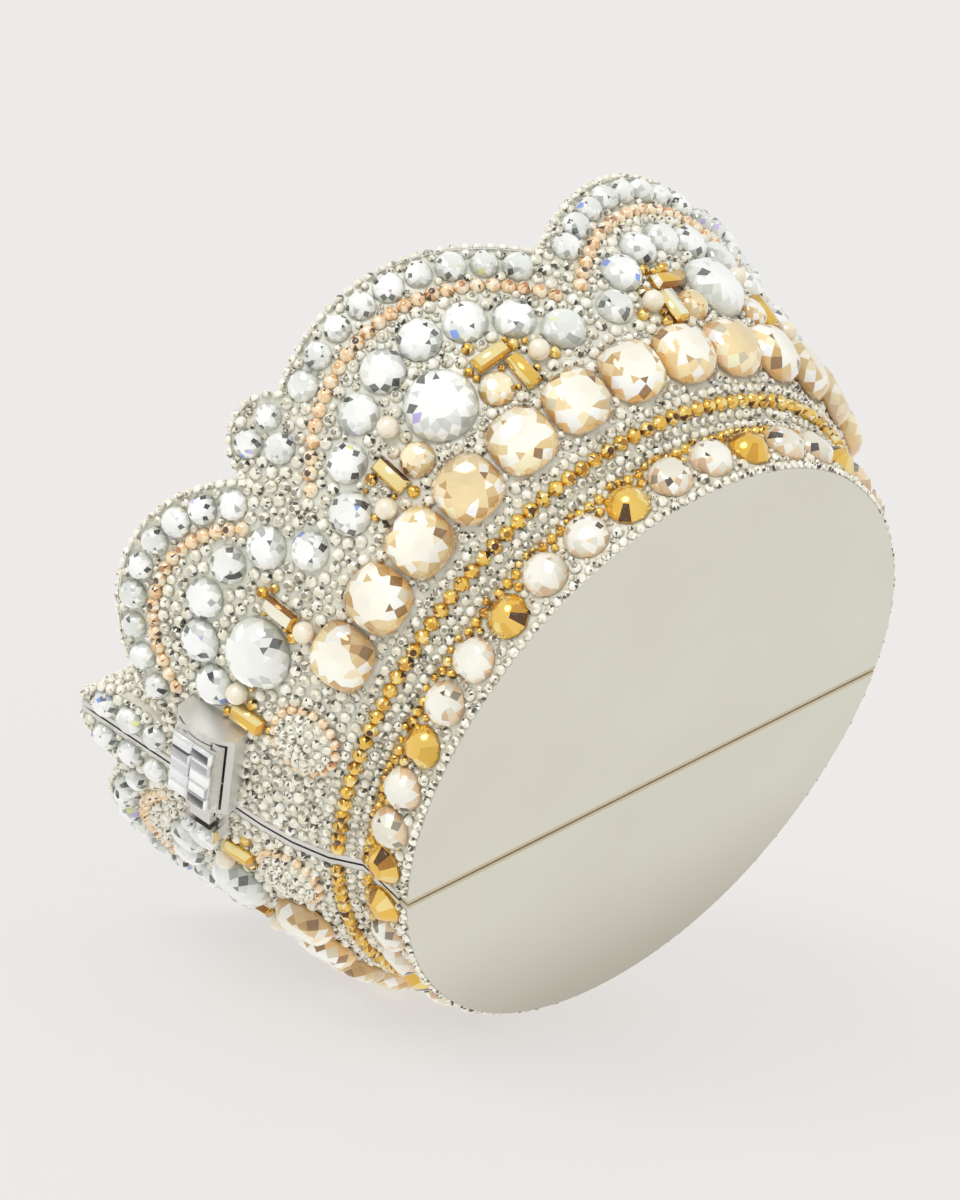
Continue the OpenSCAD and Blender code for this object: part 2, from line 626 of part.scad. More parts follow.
module pearls(side)
    for (p = concat(round_broad_set(side, broad_pearl_shares), round_side_set(side, side_pearl_shares)))
        on_wall(p[0], p[1]) pearl(pearl_d);
module pearls_front() color("linen") pearls(1);
module pearls_back() color("linen") pearls(-1);
module champagne_stones(side) stones(round_broad_set(side, champagne_shares), champagne_d, stone_h);
module champagne_stones_front() color("burlywood") champagne_stones(1);
module champagne_stones_back() color("burlywood") champagne_stones(-1);
module motif_pads(side)
    for (phi = ends(motif_phi(side), side)) on_wall(phi, cushion_z)
        cylinder(r = motif_r, h = motif_t, $fn = part_fn);
module motif_pads_front() color("white") motif_pads(1);
module motif_pads_back() color("white") motif_pads(-1);

front_shell();
front_base_plate();
front_lining();
front_top_deck();
front_crown_rim();
front_edge_frame();
back_shell();
back_base_plate();
back_lining();
back_top_deck();
back_crown_rim();
back_edge_frame();
hinge_leaf_front();
hinge_leaf_back();
hinge_pin();
hinge_screws_front();
hinge_screws_back();
clasp_case();
clasp_button();
clasp_set_stones();
latch_lever();
latch_pin();
button_spring();
catch_plate();
catch_stones();
gold_band_stones_front();
gold_band_stones_back();
clear_band_stones_front();
clear_band_stones_back();
gold_beads_front();
gold_beads_back();
pave_rows_front();
pave_rows_back();
champagne_cushions_front();
champagne_cushions_back();
large_crystals_front();
large_crystals_back();
medium_crystals_front();
medium_crystals_back();
edge_crystals_front();
edge_crystals_back();
rose_beads_front();
rose_beads_back();
gold_baguettes_front();
gold_baguettes_back();
pearls_front();
pearls_back();
champagne_stones_front();
champagne_stones_back();
motif_pads_front();
motif_pads_back();
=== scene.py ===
import math

import bpy
import numpy as np
from mathutils import Matrix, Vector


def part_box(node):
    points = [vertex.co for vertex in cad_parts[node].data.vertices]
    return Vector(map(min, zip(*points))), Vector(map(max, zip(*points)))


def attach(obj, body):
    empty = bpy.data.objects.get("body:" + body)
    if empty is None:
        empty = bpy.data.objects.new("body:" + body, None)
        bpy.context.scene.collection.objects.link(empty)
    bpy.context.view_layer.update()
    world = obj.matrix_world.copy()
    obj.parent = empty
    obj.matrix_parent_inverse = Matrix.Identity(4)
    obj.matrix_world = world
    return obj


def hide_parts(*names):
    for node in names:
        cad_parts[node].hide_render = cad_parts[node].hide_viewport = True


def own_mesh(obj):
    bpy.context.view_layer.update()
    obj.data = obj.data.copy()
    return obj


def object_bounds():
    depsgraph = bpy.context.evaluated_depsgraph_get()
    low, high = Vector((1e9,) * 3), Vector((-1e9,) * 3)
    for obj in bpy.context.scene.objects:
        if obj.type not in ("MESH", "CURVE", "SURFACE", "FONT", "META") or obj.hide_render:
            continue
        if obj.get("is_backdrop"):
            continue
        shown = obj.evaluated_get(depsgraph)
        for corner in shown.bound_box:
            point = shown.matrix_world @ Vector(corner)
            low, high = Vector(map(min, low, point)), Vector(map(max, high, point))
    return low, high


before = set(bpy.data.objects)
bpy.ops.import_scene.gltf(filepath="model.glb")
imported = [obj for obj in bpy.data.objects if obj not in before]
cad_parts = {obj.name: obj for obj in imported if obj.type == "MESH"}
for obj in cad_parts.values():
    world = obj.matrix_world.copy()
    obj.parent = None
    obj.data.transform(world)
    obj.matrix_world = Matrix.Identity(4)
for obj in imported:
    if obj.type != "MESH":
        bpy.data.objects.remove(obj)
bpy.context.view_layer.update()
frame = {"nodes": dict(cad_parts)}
nodes = frame["nodes"]
mm = 0.001

# Camera. The bag lies on its back wall and is seen from below its base, a little from the clasp's side.
# The place, the three directions of the picture and the focal length belong to a frame 960 pixels wide.
camera_place = np.array([-420.580, -562.537, -369.194]) * mm
picture_right = np.array([0.78041, -0.12033, -0.61358])
picture_down = np.array([-0.36088, 0.71467, -0.59917])
picture_depth = np.array([0.51061, 0.68903, 0.51431])
focal_pixels, frame_pixels, sensor_wide = 4122.06, 960.0, 36.0
camera_data = bpy.data.cameras.new("camera")
camera_data.sensor_fit = "HORIZONTAL"
camera_data.sensor_width = sensor_wide
camera_data.lens = focal_pixels * sensor_wide / frame_pixels
camera_data.clip_start = 0.01
camera_data.clip_end = 20.0
camera = bpy.data.objects.new("camera", camera_data)
camera_axes = np.array([picture_right, -picture_down, -picture_depth]).T
camera.matrix_world = Matrix.Translation(camera_place) @ Matrix(camera_axes.tolist()).to_4x4()
bpy.context.scene.collection.objects.link(camera)
bpy.context.scene.camera = camera


# Base plates. Two flat plates of satin plated metal close the halves below, with a fine straight grain and faint
# cloudy handling marks. The plating is worn to a tan edge along the seam. Towards the back wall, where the bag rests
# on the table, a painted shade darkens them in place of the darker floor that they reflect there. They are CAD parts
# and keep their meshes.
class Socket:
    """One output of a shader node. An expression on sockets and numbers adds its Math nodes."""

    def __init__(self, nodes, link):
        self.nodes, self.link = nodes, link

    def maths(self, operation, *values):
        """A Math node on one or two sockets or numbers."""
        return self.nodes.node("Math", "Value", {"operation": operation}, **dict(zip(("Value", "Value_001"), values)))

    def __add__(self, other):
        return self.maths("ADD", self, other)

    def __sub__(self, other):
        return self.maths("SUBTRACT", self, other)

    def __rsub__(self, other):
        return self.maths("SUBTRACT", other, self)

    def __mul__(self, other):
        return self.maths("MULTIPLY", self, other)

    __radd__ = __add__
    __rmul__ = __mul__

    def __or__(self, other):
        """The greater of two masks, which is 1 where either is."""
        return self.maths("MAXIMUM", self, other)

    def __abs__(self):
        return self.maths("ABSOLUTE", self)

    def above(self, edge, soft):
        """0 below the edge and 1 above it, with a soft step of the given width."""
        ends = {"From_Min": edge - soft / 2, "From_Max": edge + soft / 2}
        return self.nodes.node("MapRange", "Result", {"interpolation_type": "SMOOTHSTEP"}, Value=self, **ends)


class Nodes:
    """A node tree, with the one way to add a node to it."""

    def __init__(self, tree):
        self.tree = tree

    def node(self, kind, output, settings=None, **values):
        """Adds a node of a kind, sets its settings, then its sockets' numbers or links, and gives one output. A
        socket goes by its name, or by its identifier where several share a name."""
        made = self.tree.nodes.new("ShaderNode" + kind)
        for key, value in (settings or {}).items():
            setattr(made, key, value)
        for key, value in values.items():
            known = (key, key.replace("_", " "))
            socket = [s for s in made.inputs if s.enabled and (s.identifier in known or s.name in known)][0]
            if isinstance(value, Socket):
                self.tree.links.new(value.link, socket)
            else:
                socket.default_value = value
        return Socket(self, [s for s in made.outputs if s.enabled and s.name == output][0])


class Finish(Nodes):
    """A material: its node tree, its shader, and short ways to add nodes and to set the shader's sockets."""

    def __init__(self, name, **numbers):
        self.material = bpy.data.materials.new(name)
        self.material.use_nodes = True
        super().__init__(self.material.node_tree)
        self.shader = self.tree.nodes["Principled BSDF"]
        for socket, value in numbers.items():
            self.shader.inputs[socket.replace("_", " ")].default_value = value
        self.place = self.node("TexCoord", "Object")

    def stretched(self, scale, turn):
        """Object coordinates turned and scaled, for a pattern with its own direction."""
        return self.node("Mapping", "Vector", Vector=self.place, Scale=scale, Rotation=turn)

    def noise(self, scale, detail, vector=None):
        """Soft random values around 0.5. The scale says how many patches of them a metre holds."""
        return self.node("TexNoise", "Fac", Vector=vector or self.place, Scale=scale, Detail=detail)

    def mix(self, factor, first, second):
        """The first colour where the factor is 0 and the second where it is 1."""
        return self.node("Mix", "Result", {"data_type": "RGBA"}, Factor=factor, A=first, B=second)

    def give(self, **links):
        """Links values to the shader's sockets, and a height in millimetres through a Bump node."""
        for name, value in links.items():
            if name == "height":
                value = self.node("Bump", "Normal", Height=value, Distance=mm)
                name = "Normal"
            self.tree.links.new(value.link, self.shader.inputs[name.replace("_", " ")])
        return self


def rgb(red, green, blue):
    """A colour as the shaders take it, from the 0 to 255 numbers of a screen."""
    screen = np.array([red, green, blue]) / 255.0
    linear = np.where(screen <= 0.04045, screen / 12.92, ((screen + 0.055) / 1.055) ** 2.4)
    return (*linear.tolist(), 1.0)


def finish_nodes(finish, *names):
    """Gives CAD nodes a finish in place of the one they came with."""
    for name in names:
        nodes[name].data.materials.clear()
        nodes[name].data.materials.append(finish.material)


seam_y, worn_half, worn_fade, shade_from_seam, shade_fade = 9.0, 1.15, 0.6, 46.0, 60.0
satin_plate = Finish("satin_plate", Metallic=0.25)
straight = satin_plate.stretched((60.0, 6000.0, 60.0), (0.0, 0.0, math.radians(24.0)))
grain = satin_plate.noise(1.0, 3.0, straight)
clouds = satin_plate.noise(28.0, 3.0)
from_seam = satin_plate.node("SeparateXYZ", "Y", Vector=satin_plate.place) - seam_y * mm
worn = 1.0 - abs(from_seam).above(worn_half * mm, worn_fade * mm)
# Painted shade: the plates turn darker towards the back wall, standing in for the darker floor reflected there.
painted_shade = from_seam.above(shade_from_seam * mm, shade_fade * mm)
plain = satin_plate.mix(clouds * 0.7 + grain * 0.3, rgb(208, 205, 191), rgb(228, 226, 214))
plate_colour = satin_plate.mix(painted_shade, plain, rgb(175, 169, 152))
satin_plate.give(
    Base_Color=satin_plate.mix(worn * (0.6 + clouds * 0.4), plate_colour, rgb(196, 180, 144)),
    Roughness=0.32 + clouds * 0.12 + grain * 0.06,
    height=grain * 0.003,
)
finish_nodes(satin_plate, "front_base_plate", "back_base_plate")

# Half shells. The wall between the stones is plated metal under a thin coat of clear, slightly milky glue, a
# warm pale grey, uneven where the glue pooled.
glued_wall = Finish("glued_wall", Metallic=0.1, Coat_Weight=0.5, Coat_Roughness=0.15)
pools = glued_wall.noise(420.0, 4.0)
drops = glued_wall.noise(1100.0, 2.0)
glued_wall.give(
    Base_Color=glued_wall.mix(pools.above(0.5, 0.4), rgb(220, 219, 204), rgb(238, 237, 224)),
    Roughness=0.25 + drops * 0.35,
    height=pools * 0.12 + drops * 0.08,
)
finish_nodes(glued_wall, "front_shell", "back_shell")

# Crown rims, decks and clasp case. Sheet metal closes the top inside the crown and houses the clasp. It is silver
# plated and brushed by hand, with short fine strokes and a few soft stains.
brushed_plate = Finish("brushed_plate", Metallic=0.6)
strokes = brushed_plate.noise(1.0, 4.0, brushed_plate.stretched((2600.0, 180.0, 2600.0), (0.0, 0.0, 0.5)))
stains = brushed_plate.noise(38.0, 2.0)
brushed_plate.give(
    Base_Color=brushed_plate.mix(strokes * 0.6 + stains * 0.4, rgb(206, 204, 197), rgb(232, 231, 226)),
    Roughness=0.26 + strokes * 0.14 + stains * 0.06,
    height=strokes * 0.004,
)
finish_nodes(brushed_plate, "front_crown_rim", "back_crown_rim", "front_top_deck", "back_top_deck", "clasp_case")

# Seam frames and the clasp's and hinge's metal. Polished silver plate, with hairline scratches that run every
# way and a slightly warm grey in the hollows.
bright_plate = Finish("bright_plate", Metallic=0.95)
scratches = bright_plate.noise(1.0, 5.0, bright_plate.stretched((700.0, 90.0, 900.0), (0.4, 0.9, 0.2)))
tarnish = bright_plate.noise(160.0, 3.0)
bright_plate.give(
    Base_Color=bright_plate.mix(tarnish, rgb(214, 212, 206), rgb(242, 241, 238)),
    Roughness=0.08 + scratches * 0.10 + tarnish * 0.06,
    height=scratches * 0.004,
)
finish_nodes(
    bright_plate, "front_edge_frame", "back_edge_frame", "clasp_button", "catch_plate", "latch_lever", "latch_pin",
    "hinge_leaf_front", "hinge_leaf_back", "hinge_pin", "hinge_screws_front", "hinge_screws_back",
)

# Linings. Thin pale leather, cut to each half's inside and glued to its wall and decks. It has a fine pebbled
# grain, and softer patches where it was stretched.
lining_leather = Finish("lining_leather", Sheen_Weight=0.2)
pebbles = lining_leather.node("TexVoronoi", "Distance", Vector=lining_leather.place, Scale=1400.0)
patches = lining_leather.noise(60.0, 3.0)
lining_leather.give(
    Base_Color=lining_leather.mix(pebbles * 0.6 + patches * 0.4, rgb(226, 216, 198), rgb(198, 184, 162)),
    Roughness=0.52 + pebbles * 0.2,
    height=pebbles * -0.12,
)
finish_nodes(lining_leather, "front_lining", "back_lining")


# Base band. A row of round flat-backed stones runs round the drum, one gold to two clear ones with a peach
# tint, glued to the wall. The clear ones have rings of small facets round a wide table. The gold ones are cut as
# blunt cones, with one ring of long facets.
half_w, half_d = 60.0, 68.0
shift = (half_d - half_w) * (1 + 1 / math.sqrt(2))
wide_r, tight_r = half_w + shift, half_d - shift
wall_heights = np.array([0.0, 12.5, 17.5, 24.25, 31.0, 76.0])
wall_outs = np.array([0.0, 0.6, 5.0, 8.48, 10.8, 10.8 + 45.0 * math.tan(math.radians(14.0))])


def plan(phi):
    """The oval plan in a direction in degrees: its arc's centre, radius and unit direction. Wide arcs face X."""
    a = np.radians(phi)
    c, s = np.cos(a), np.sin(a)
    wide = np.abs(c) >= np.abs(s) - 1e-6
    centre = np.stack([np.where(wide, -np.sign(c) * shift, 0.0), np.where(wide, 0.0, np.sign(s) * shift)], -1)
    return centre, np.where(wide, wide_r, tight_r), np.stack([c, s], -1)


def wall(phi, z, off=0.0):
    """The wall at a direction and height, in millimetres: the point that stands off it, and the unit vectors
    along it, up it and out of it. The wall's face is the plan's arc, widened by a broken line over the height."""
    phi, z = np.broadcast_arrays(np.asarray(phi, float), np.asarray(z, float))
    centre, radius, ray = plan(phi)
    step = np.clip(np.searchsorted(wall_heights, z, "right"), 1, len(wall_heights) - 1)
    rise = wall_heights[step] - wall_heights[step - 1]
    tilt = np.arctan2(wall_outs[step] - wall_outs[step - 1], rise)
    flat = centre + (radius + np.interp(z, wall_heights, wall_outs))[..., None] * ray
    point = np.concatenate([flat, z[..., None]], -1)
    cos_t, sin_t = np.cos(tilt)[..., None], np.sin(tilt)[..., None]
    out = np.concatenate([ray * cos_t, -sin_t], -1)
    up = np.concatenate([ray * sin_t, cos_t], -1)
    along = np.stack([-ray[..., 1], ray[..., 0], np.zeros_like(z)], -1)
    return point + out * np.asarray(off)[..., None], along, up, out


def boxes_of(name):
    """The lowest and highest corner of each solid of a CAD node, in millimetres. The node's loose triangles
    belong to one solid where they share corners."""
    mesh = nodes[name].data
    points = np.zeros(len(mesh.vertices) * 3, np.float32)
    mesh.vertices.foreach_get("co", points)
    corners = np.zeros(len(mesh.loops), np.int64)
    mesh.loops.foreach_get("vertex_index", corners)
    points = points.reshape(-1, 3) / mm
    same = np.unique(np.round(points, 3), axis=0, return_inverse=True)[1].reshape(-1)
    faces = same[corners].reshape(-1, 3)
    label = np.arange(same.max() + 1)
    before = None
    while before is None or (before != label).any():
        before = label.copy()
        least = label[faces].min(1)
        for k in range(3):
            np.minimum.at(label, faces[:, k], least)
    group = np.unique(label[same], return_inverse=True)[1].reshape(-1)
    low, high = np.full((2, group.max() + 1, 3), np.inf)
    high = -high
    np.minimum.at(low, group, points)
    np.maximum.at(high, group, points)
    return low, high


def places_of(name):
    """The direction and height on the wall of each solid of a CAD node, from its box's middle: the direction from
    the centre of the plan's arc there, and the height of the wall's nearest point."""
    low, high = boxes_of(name)
    middle = (low + high) / 2
    wide = np.abs(middle[:, 1]) < np.abs(middle[:, 0]) + shift
    centre = np.where(wide[:, None], np.stack([-np.sign(middle[:, 0]) * shift, 0 * middle[:, 0]], 1),
                      np.stack([0 * middle[:, 1], np.sign(middle[:, 1]) * shift], 1))
    ray = middle[:, :2] - centre
    phi = np.degrees(np.arctan2(ray[:, 1], ray[:, 0]))
    reach = np.hypot(ray[:, 0], ray[:, 1]) - np.where(wide, wide_r, tight_r)
    heights = np.linspace(0.2, 75.8, 1513)
    gaps = (np.interp(heights, wall_heights, wall_outs)[None] - reach[:, None]) ** 2
    nearest = np.argmin(gaps + (heights[None] - middle[:, 2:3]) ** 2, 1)
    return phi, heights[nearest]


def cut_stone(sides, radii, heights, square=0.0, straight=False):
    """A cut stone's corners, triangles and the facet that each triangle belongs to. Rings of corners stand at the
    given radii and heights, in shares, each turned half a step from the last, and a fan closes both ends. The two
    triangles that share an edge of an inner ring are one kite-shaped facet. A straight cut has its rings unturned
    and one four-sided facet between two pairs of corners. The base's and the table's facets are the last two.
    square pulls the outline from a circle towards a rounded square: each radius is divided by the fourth-power norm
    of its direction, mixed in by that share."""
    rings = []
    for k, (r, h) in enumerate(zip(radii, heights)):
        a = (np.arange(sides) + (0.0 if straight else 0.5 * (k % 2))) * 2 * np.pi / sides
        norm = (np.cos(a) ** 4 + np.sin(a) ** 4) ** 0.25
        grow = 1 + square * (1 / norm - 1)
        rings.append(np.stack([np.cos(a) * r * grow, np.sin(a) * r * grow, np.full(sides, h)], 1))
    corners = np.concatenate(rings + [[[0.0, 0.0, heights[0]]], [[0.0, 0.0, heights[-1]]]])
    faces, facets, facet = [], [], 0
    i = np.arange(sides)
    j = (i + 1) % sides
    for k in range(len(radii) - 1):
        here, there = k * sides, (k + 1) * sides
        ahead = straight or k % 2
        faces += [np.stack([here + i, here + j, there + (j if ahead else i)], 1)]
        faces += [np.stack([here + (i if ahead else j), there + j, there + i], 1)]
        facets += [facet + i, facet + i if straight else facet + sides + i]
        facet += sides
    facet += sides
    last = (len(radii) - 1) * sides
    base, table = len(corners) - 2, len(corners) - 1
    faces += [np.stack([np.full(sides, base), j, i], 1)]
    faces += [np.stack([np.full(sides, table), last + i, last + j], 1)]
    facets += [np.full(sides, facet), np.full(sides, facet + 1)]
    return corners, np.concatenate(faces), np.concatenate(facets)


evening, least_tone, most_tone, rim_share = 0.7, 0.92, 1.06, 0.7


def set_stones(
    name, body, finish, cut, spots, across, high, shades, seed, rim=None, turn=None, long=1.0, joined=0.0, tables=2,
    painted_sheen=0.09,
):
    """A piece of many like stones. spots gives each one's place and its directions along, up and out. across is its
    diameter and high its height, in millimetres. Each shade is a chance and a colour. The colours are painted
    reflections over the stone's own tint: white and dark facets stand for what the cut glass reflects. The table
    takes one of the first few, a share of the facets beside it is joined to it, and the others take any shade, the
    outer ones with their chances evened out by a power. The lowest facets lean towards the rim's colour. A painted
    sheen, a slow change of tone as a reflection gives, runs across each stone, as strong as the last argument."""
    corners, faces, facets = cut
    place, along, up, out = spots
    count = len(place)
    draw = np.random.default_rng(seed)
    across, high = np.broadcast_to(across, count) / 2, np.broadcast_to(high, count)
    spin = draw.uniform(0, 2 * np.pi, count) if turn is None else np.broadcast_to(turn, count)
    c, s = np.cos(spin)[:, None], np.sin(spin)[:, None]
    first, second = along * c + up * s, up * c - along * s
    grid = (
        place[:, None]
        + first[:, None] * (corners[None, :, :1] * (across * long)[:, None, None])
        + second[:, None] * (corners[None, :, 1:2] * across[:, None, None])
        + out[:, None] * (corners[None, :, 2:] * high[:, None, None])
    )
    colours = np.array([shade[1:4] for shade in shades])
    chances = np.array([shade[0] for shade in shades], float)
    picked = draw.choice(len(shades), (count, facets.max() + 1), p=chances / chances.sum())
    picked[:, -1] = draw.integers(0, tables, count)
    beside = slice(-2 - 2 * int((facets == facets.max()).sum()), -2)
    merges = draw.uniform(size=picked[:, beside].shape) < joined
    evener = chances ** evening
    evener /= evener.sum()
    picked[:, :beside.start] = draw.choice(len(shades), (count, picked.shape[1] + beside.start), p=evener)
    picked[:, beside] = np.where(merges, picked[:, -1:], picked[:, beside])
    # The facet tones: painted reflections and shade of the cut glass over the stone's own tint.
    tone = np.array([rgb(*colour)[:3] for colour in colours])[picked]
    varied = draw.uniform(least_tone, most_tone, picked.shape)
    tone = tone * np.where(picked == picked[:, -1:], 1.0, varied)[..., None]
    if rim is not None:
        girdle = np.unique(facets[corners[faces, 2].max(1) <= np.unique(corners[:, 2])[1]])
        tone[:, girdle] = (1 - rim_share) * tone[:, girdle] + rim_share * np.array(rgb(*rim)[:3])
    # Painted sheen: each stone's facets grow lighter towards one random side and darker towards the other, as a
    # reflection does.
    towards = draw.uniform(0, 2 * np.pi, count)
    middles = corners[faces][..., :2].mean(1)
    sheen = np.cos(towards)[:, None] * middles[:, 0] + np.sin(towards)[:, None] * middles[:, 1]
    tone = np.clip(tone[:, facets] * (1 + painted_sheen * sheen)[..., None], 0, 1).reshape(-1, 3)
    triangles = (faces[None] + (np.arange(count) * len(corners))[:, None, None]).reshape(-1, 3)
    return shaped(name, body, finish, grid.reshape(-1, 3), triangles, tone)


def shaped(name, body, finish, points, faces, tone=None):
    """A piece from corners in millimetres and equal-sided faces. tone is each face's colour, painted reflections and
    shade included.
    """
    mesh = bpy.data.meshes.new(name)
    size = faces.shape[1]
    mesh.vertices.add(len(points))
    mesh.vertices.foreach_set("co", (np.asarray(points, float) * mm).astype(np.float32).ravel())
    mesh.loops.add(faces.size)
    mesh.loops.foreach_set("vertex_index", faces.astype(np.int32).ravel())
    mesh.polygons.add(len(faces))
    mesh.polygons.foreach_set("loop_start", np.arange(0, faces.size, size, dtype=np.int32))
    mesh.polygons.foreach_set("loop_total", np.full(len(faces), size, np.int32))
    mesh.update(calc_edges=True)
    if tone is not None:
        layer = mesh.attributes.new("facet", "FLOAT_COLOR", "CORNER")
        four = np.concatenate([tone, np.ones((len(tone), 1))], 1)
        layer.data.foreach_set("color", np.repeat(four, size, axis=0).astype(np.float32).ravel())
    mesh.materials.append(finish.material)
    piece = bpy.data.objects.new(name, mesh)
    bpy.context.scene.collection.objects.link(piece)
    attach(piece, body)
    return piece


def facet_finish(name, **numbers):
    """A finish whose colour is each facet's painted tone, the stone's own tint with painted reflections, highlights
    and shade, and faint specks of dust and glue.
    """
    finish = Finish(name, **numbers)
    facet = finish.node("Attribute", "Color", {"attribute_name": "facet"})
    dust = finish.noise(2500.0, 2.0)
    return finish.give(
        Base_Color=finish.mix(dust.above(0.62, 0.2) * 0.12, facet, rgb(225, 222, 212)),
        Roughness=numbers["Roughness"] + dust * 0.06,
    )


crystal = facet_finish("cut_crystal", Roughness=0.05, Metallic=0.1, IOR=1.6, Coat_Weight=1.0, Coat_Roughness=0.02)
gold_foil = facet_finish("gold_foiled_crystal", Roughness=0.12, Metallic=0.75, IOR=1.6, Coat_Weight=0.8)
# Painted reflections: in both lists, near-white and dark facets stand for what the cut glass reflects, over the
# stones' own peach and gold.
peach_shades = [
    (26, 244, 242, 230), (24, 230, 226, 208), (14, 248, 242, 226), (9, 236, 212, 178), (6, 212, 180, 144),
    (6, 142, 134, 116), (5, 78, 74, 66), (8, 255, 254, 250),
]
gold_shades = [
    (30, 246, 204, 96), (26, 238, 190, 70), (12, 252, 228, 146), (10, 214, 158, 44), (7, 170, 116, 26),
    (8, 88, 52, 14), (8, 255, 246, 200),
]
brilliant = cut_stone(11, (1.0, 1.0, 0.86, 0.70, 0.50), (0.0, 0.22, 0.62, 0.90, 1.0))
cone_cut = cut_stone(11, (1.0, 1.0, 0.44), (0.0, 0.22, 1.0), straight=True)
band_d, band_h, seated = 8.7, 3.0, 0.05
for side in ("front", "back"):
    for tint, finish, cut, shades, slot, rim, joined in (
        ("gold", gold_foil, cone_cut, gold_shades, "gold_crystal", (216, 164, 56), 0.0),
        ("clear", crystal, brilliant, peach_shades, "clear_crystal", (234, 196, 152), 0.4),
    ):
        node = f"{tint}_band_stones_{side}"
        piece = set_stones(
            f"{tint}_band_{side}", f"{side}_half", finish, cut, wall(*places_of(node), seated), band_d, band_h,
            shades, seed=11, rim=rim, joined=joined,
        )
        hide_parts(node)

# Beads. Small pointed flat-backed stones stand in single rows: gold ones on the step above the band, and
# rose gold ones in an arc inside each lobe's edge. They are cut with eight sides.
bead_cut = cut_stone(8, (1.0, 1.0, 0.45), (0.0, 0.35, 1.0))
# Painted reflections: white and dark facets, and the dark tables that some beads take, stand for what the cut glass
# reflects.
rose_shades = [
    (30, 252, 224, 184), (22, 254, 236, 206), (16, 244, 204, 154), (10, 226, 174, 118), (4, 186, 128, 80),
    (4, 84, 52, 34), (10, 255, 248, 232),
]
rose_foil = facet_finish("rose_foiled_crystal", Roughness=0.12, Metallic=0.1, IOR=1.6, Coat_Weight=0.9)
gold_bead_d, rose_bead_d, bead_h = 3.1, 3.0, 1.4
for side in ("front", "back"):
    for tint, finish, shades, across in (
        ("gold", gold_foil, gold_shades, gold_bead_d), ("rose", rose_foil, rose_shades, rose_bead_d),
    ):
        node = f"{tint}_beads_{side}"
        piece = set_stones(
            f"{tint}_bead_rows_{side}", f"{side}_half", finish, bead_cut, wall(*places_of(node), seated), across,
            bead_h, shades, seed=12, tables=6,
        )
        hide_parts(node)

# Champagne stones. A row of big rounded-square cushions overlaps the step's top edge, with a few small rounds by
# the bars. They are champagne glass over pale foil, glued on, with broad flat facets and a deeper orange tint at
# their edges.
# Painted reflections: near-white highlight facets and dark facets over the champagne tint, and a strong painted sheen
# across each stone.
champagne_shades = [
    (26, 250, 233, 194), (24, 236, 212, 160), (12, 255, 250, 234), (16, 222, 192, 136), (11, 198, 158, 98),
    (4, 206, 196, 168), (5, 142, 106, 60), (11, 255, 253, 246),
]
champagne = facet_finish("champagne_crystal", Roughness=0.05, Metallic=0.15, IOR=1.6, Coat_Weight=1.0)
cushion_cut = cut_stone(12, (1.0, 1.0, 0.89, 0.72, 0.54), (0.0, 0.22, 0.60, 0.92, 1.0), 0.55)
orange_tint = (222, 172, 98)
cushion_d, cushion_h, round_d, round_h = 12.6, 4.0, 7.0, 2.4
for side in ("front", "back"):
    for name, node, cut, across, high, seed, turn, joined in (
        ("champagne_row", f"champagne_cushions_{side}", cushion_cut, cushion_d, cushion_h, 13, 0.0, 0.38),
        ("champagne_rounds", f"champagne_stones_{side}", brilliant, round_d, round_h, 14, None, 0.4),
    ):
        piece = set_stones(
            f"{name}_{side}", f"{side}_half", champagne, cut, wall(*places_of(node), seated), across, high,
            champagne_shades, seed, orange_tint, turn, joined=joined, tables=3, painted_sheen=0.2,
        )
        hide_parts(node)

# Clear crystals of the lobes. A large round in the middle of each lobe, an arc of medium ones over it, and a
# row along the crown's edge, of different sizes as a jeweller picks them. Each is foiled clear crystal.
# Painted reflections: white and near-black facets, with rare blue, lemon and violet flashes, stand for what the cut
# glass reflects and splits. A painted sheen runs across each stone.
clear_shades = [
    (30, 254, 255, 252), (22, 230, 233, 226), (16, 244, 246, 240), (12, 208, 212, 204), (6, 176, 180, 173),
    (7, 104, 107, 104), (4, 50, 52, 52), (0.4, 132, 160, 240), (0.3, 232, 236, 160), (0.3, 200, 184, 240),
]
rich_cut = cut_stone(16, (1.0, 1.0, 0.90, 0.76, 0.54), (0.0, 0.22, 0.56, 0.88, 1.0))
for side in ("front", "back"):
    for kind, cut, least, most, high in (
        ("large", rich_cut, 14.0, 14.0, 4.0), ("medium", brilliant, 7.6, 9.0, 2.5), ("edge", brilliant, 5.2, 6.3, 2.3),
    ):
        node = f"{kind}_crystals_{side}"
        spots = wall(*places_of(node), seated)
        sizes = np.random.default_rng(15).uniform(least, most, len(spots[0]))
        piece = set_stones(
            f"{kind}_rounds_{side}", f"{side}_half", crystal, cut, spots, sizes, high, clear_shades, seed=16,
            rim=(210, 214, 206), joined=0.34, tables=3, painted_sheen=0.14,
        )
        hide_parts(node)


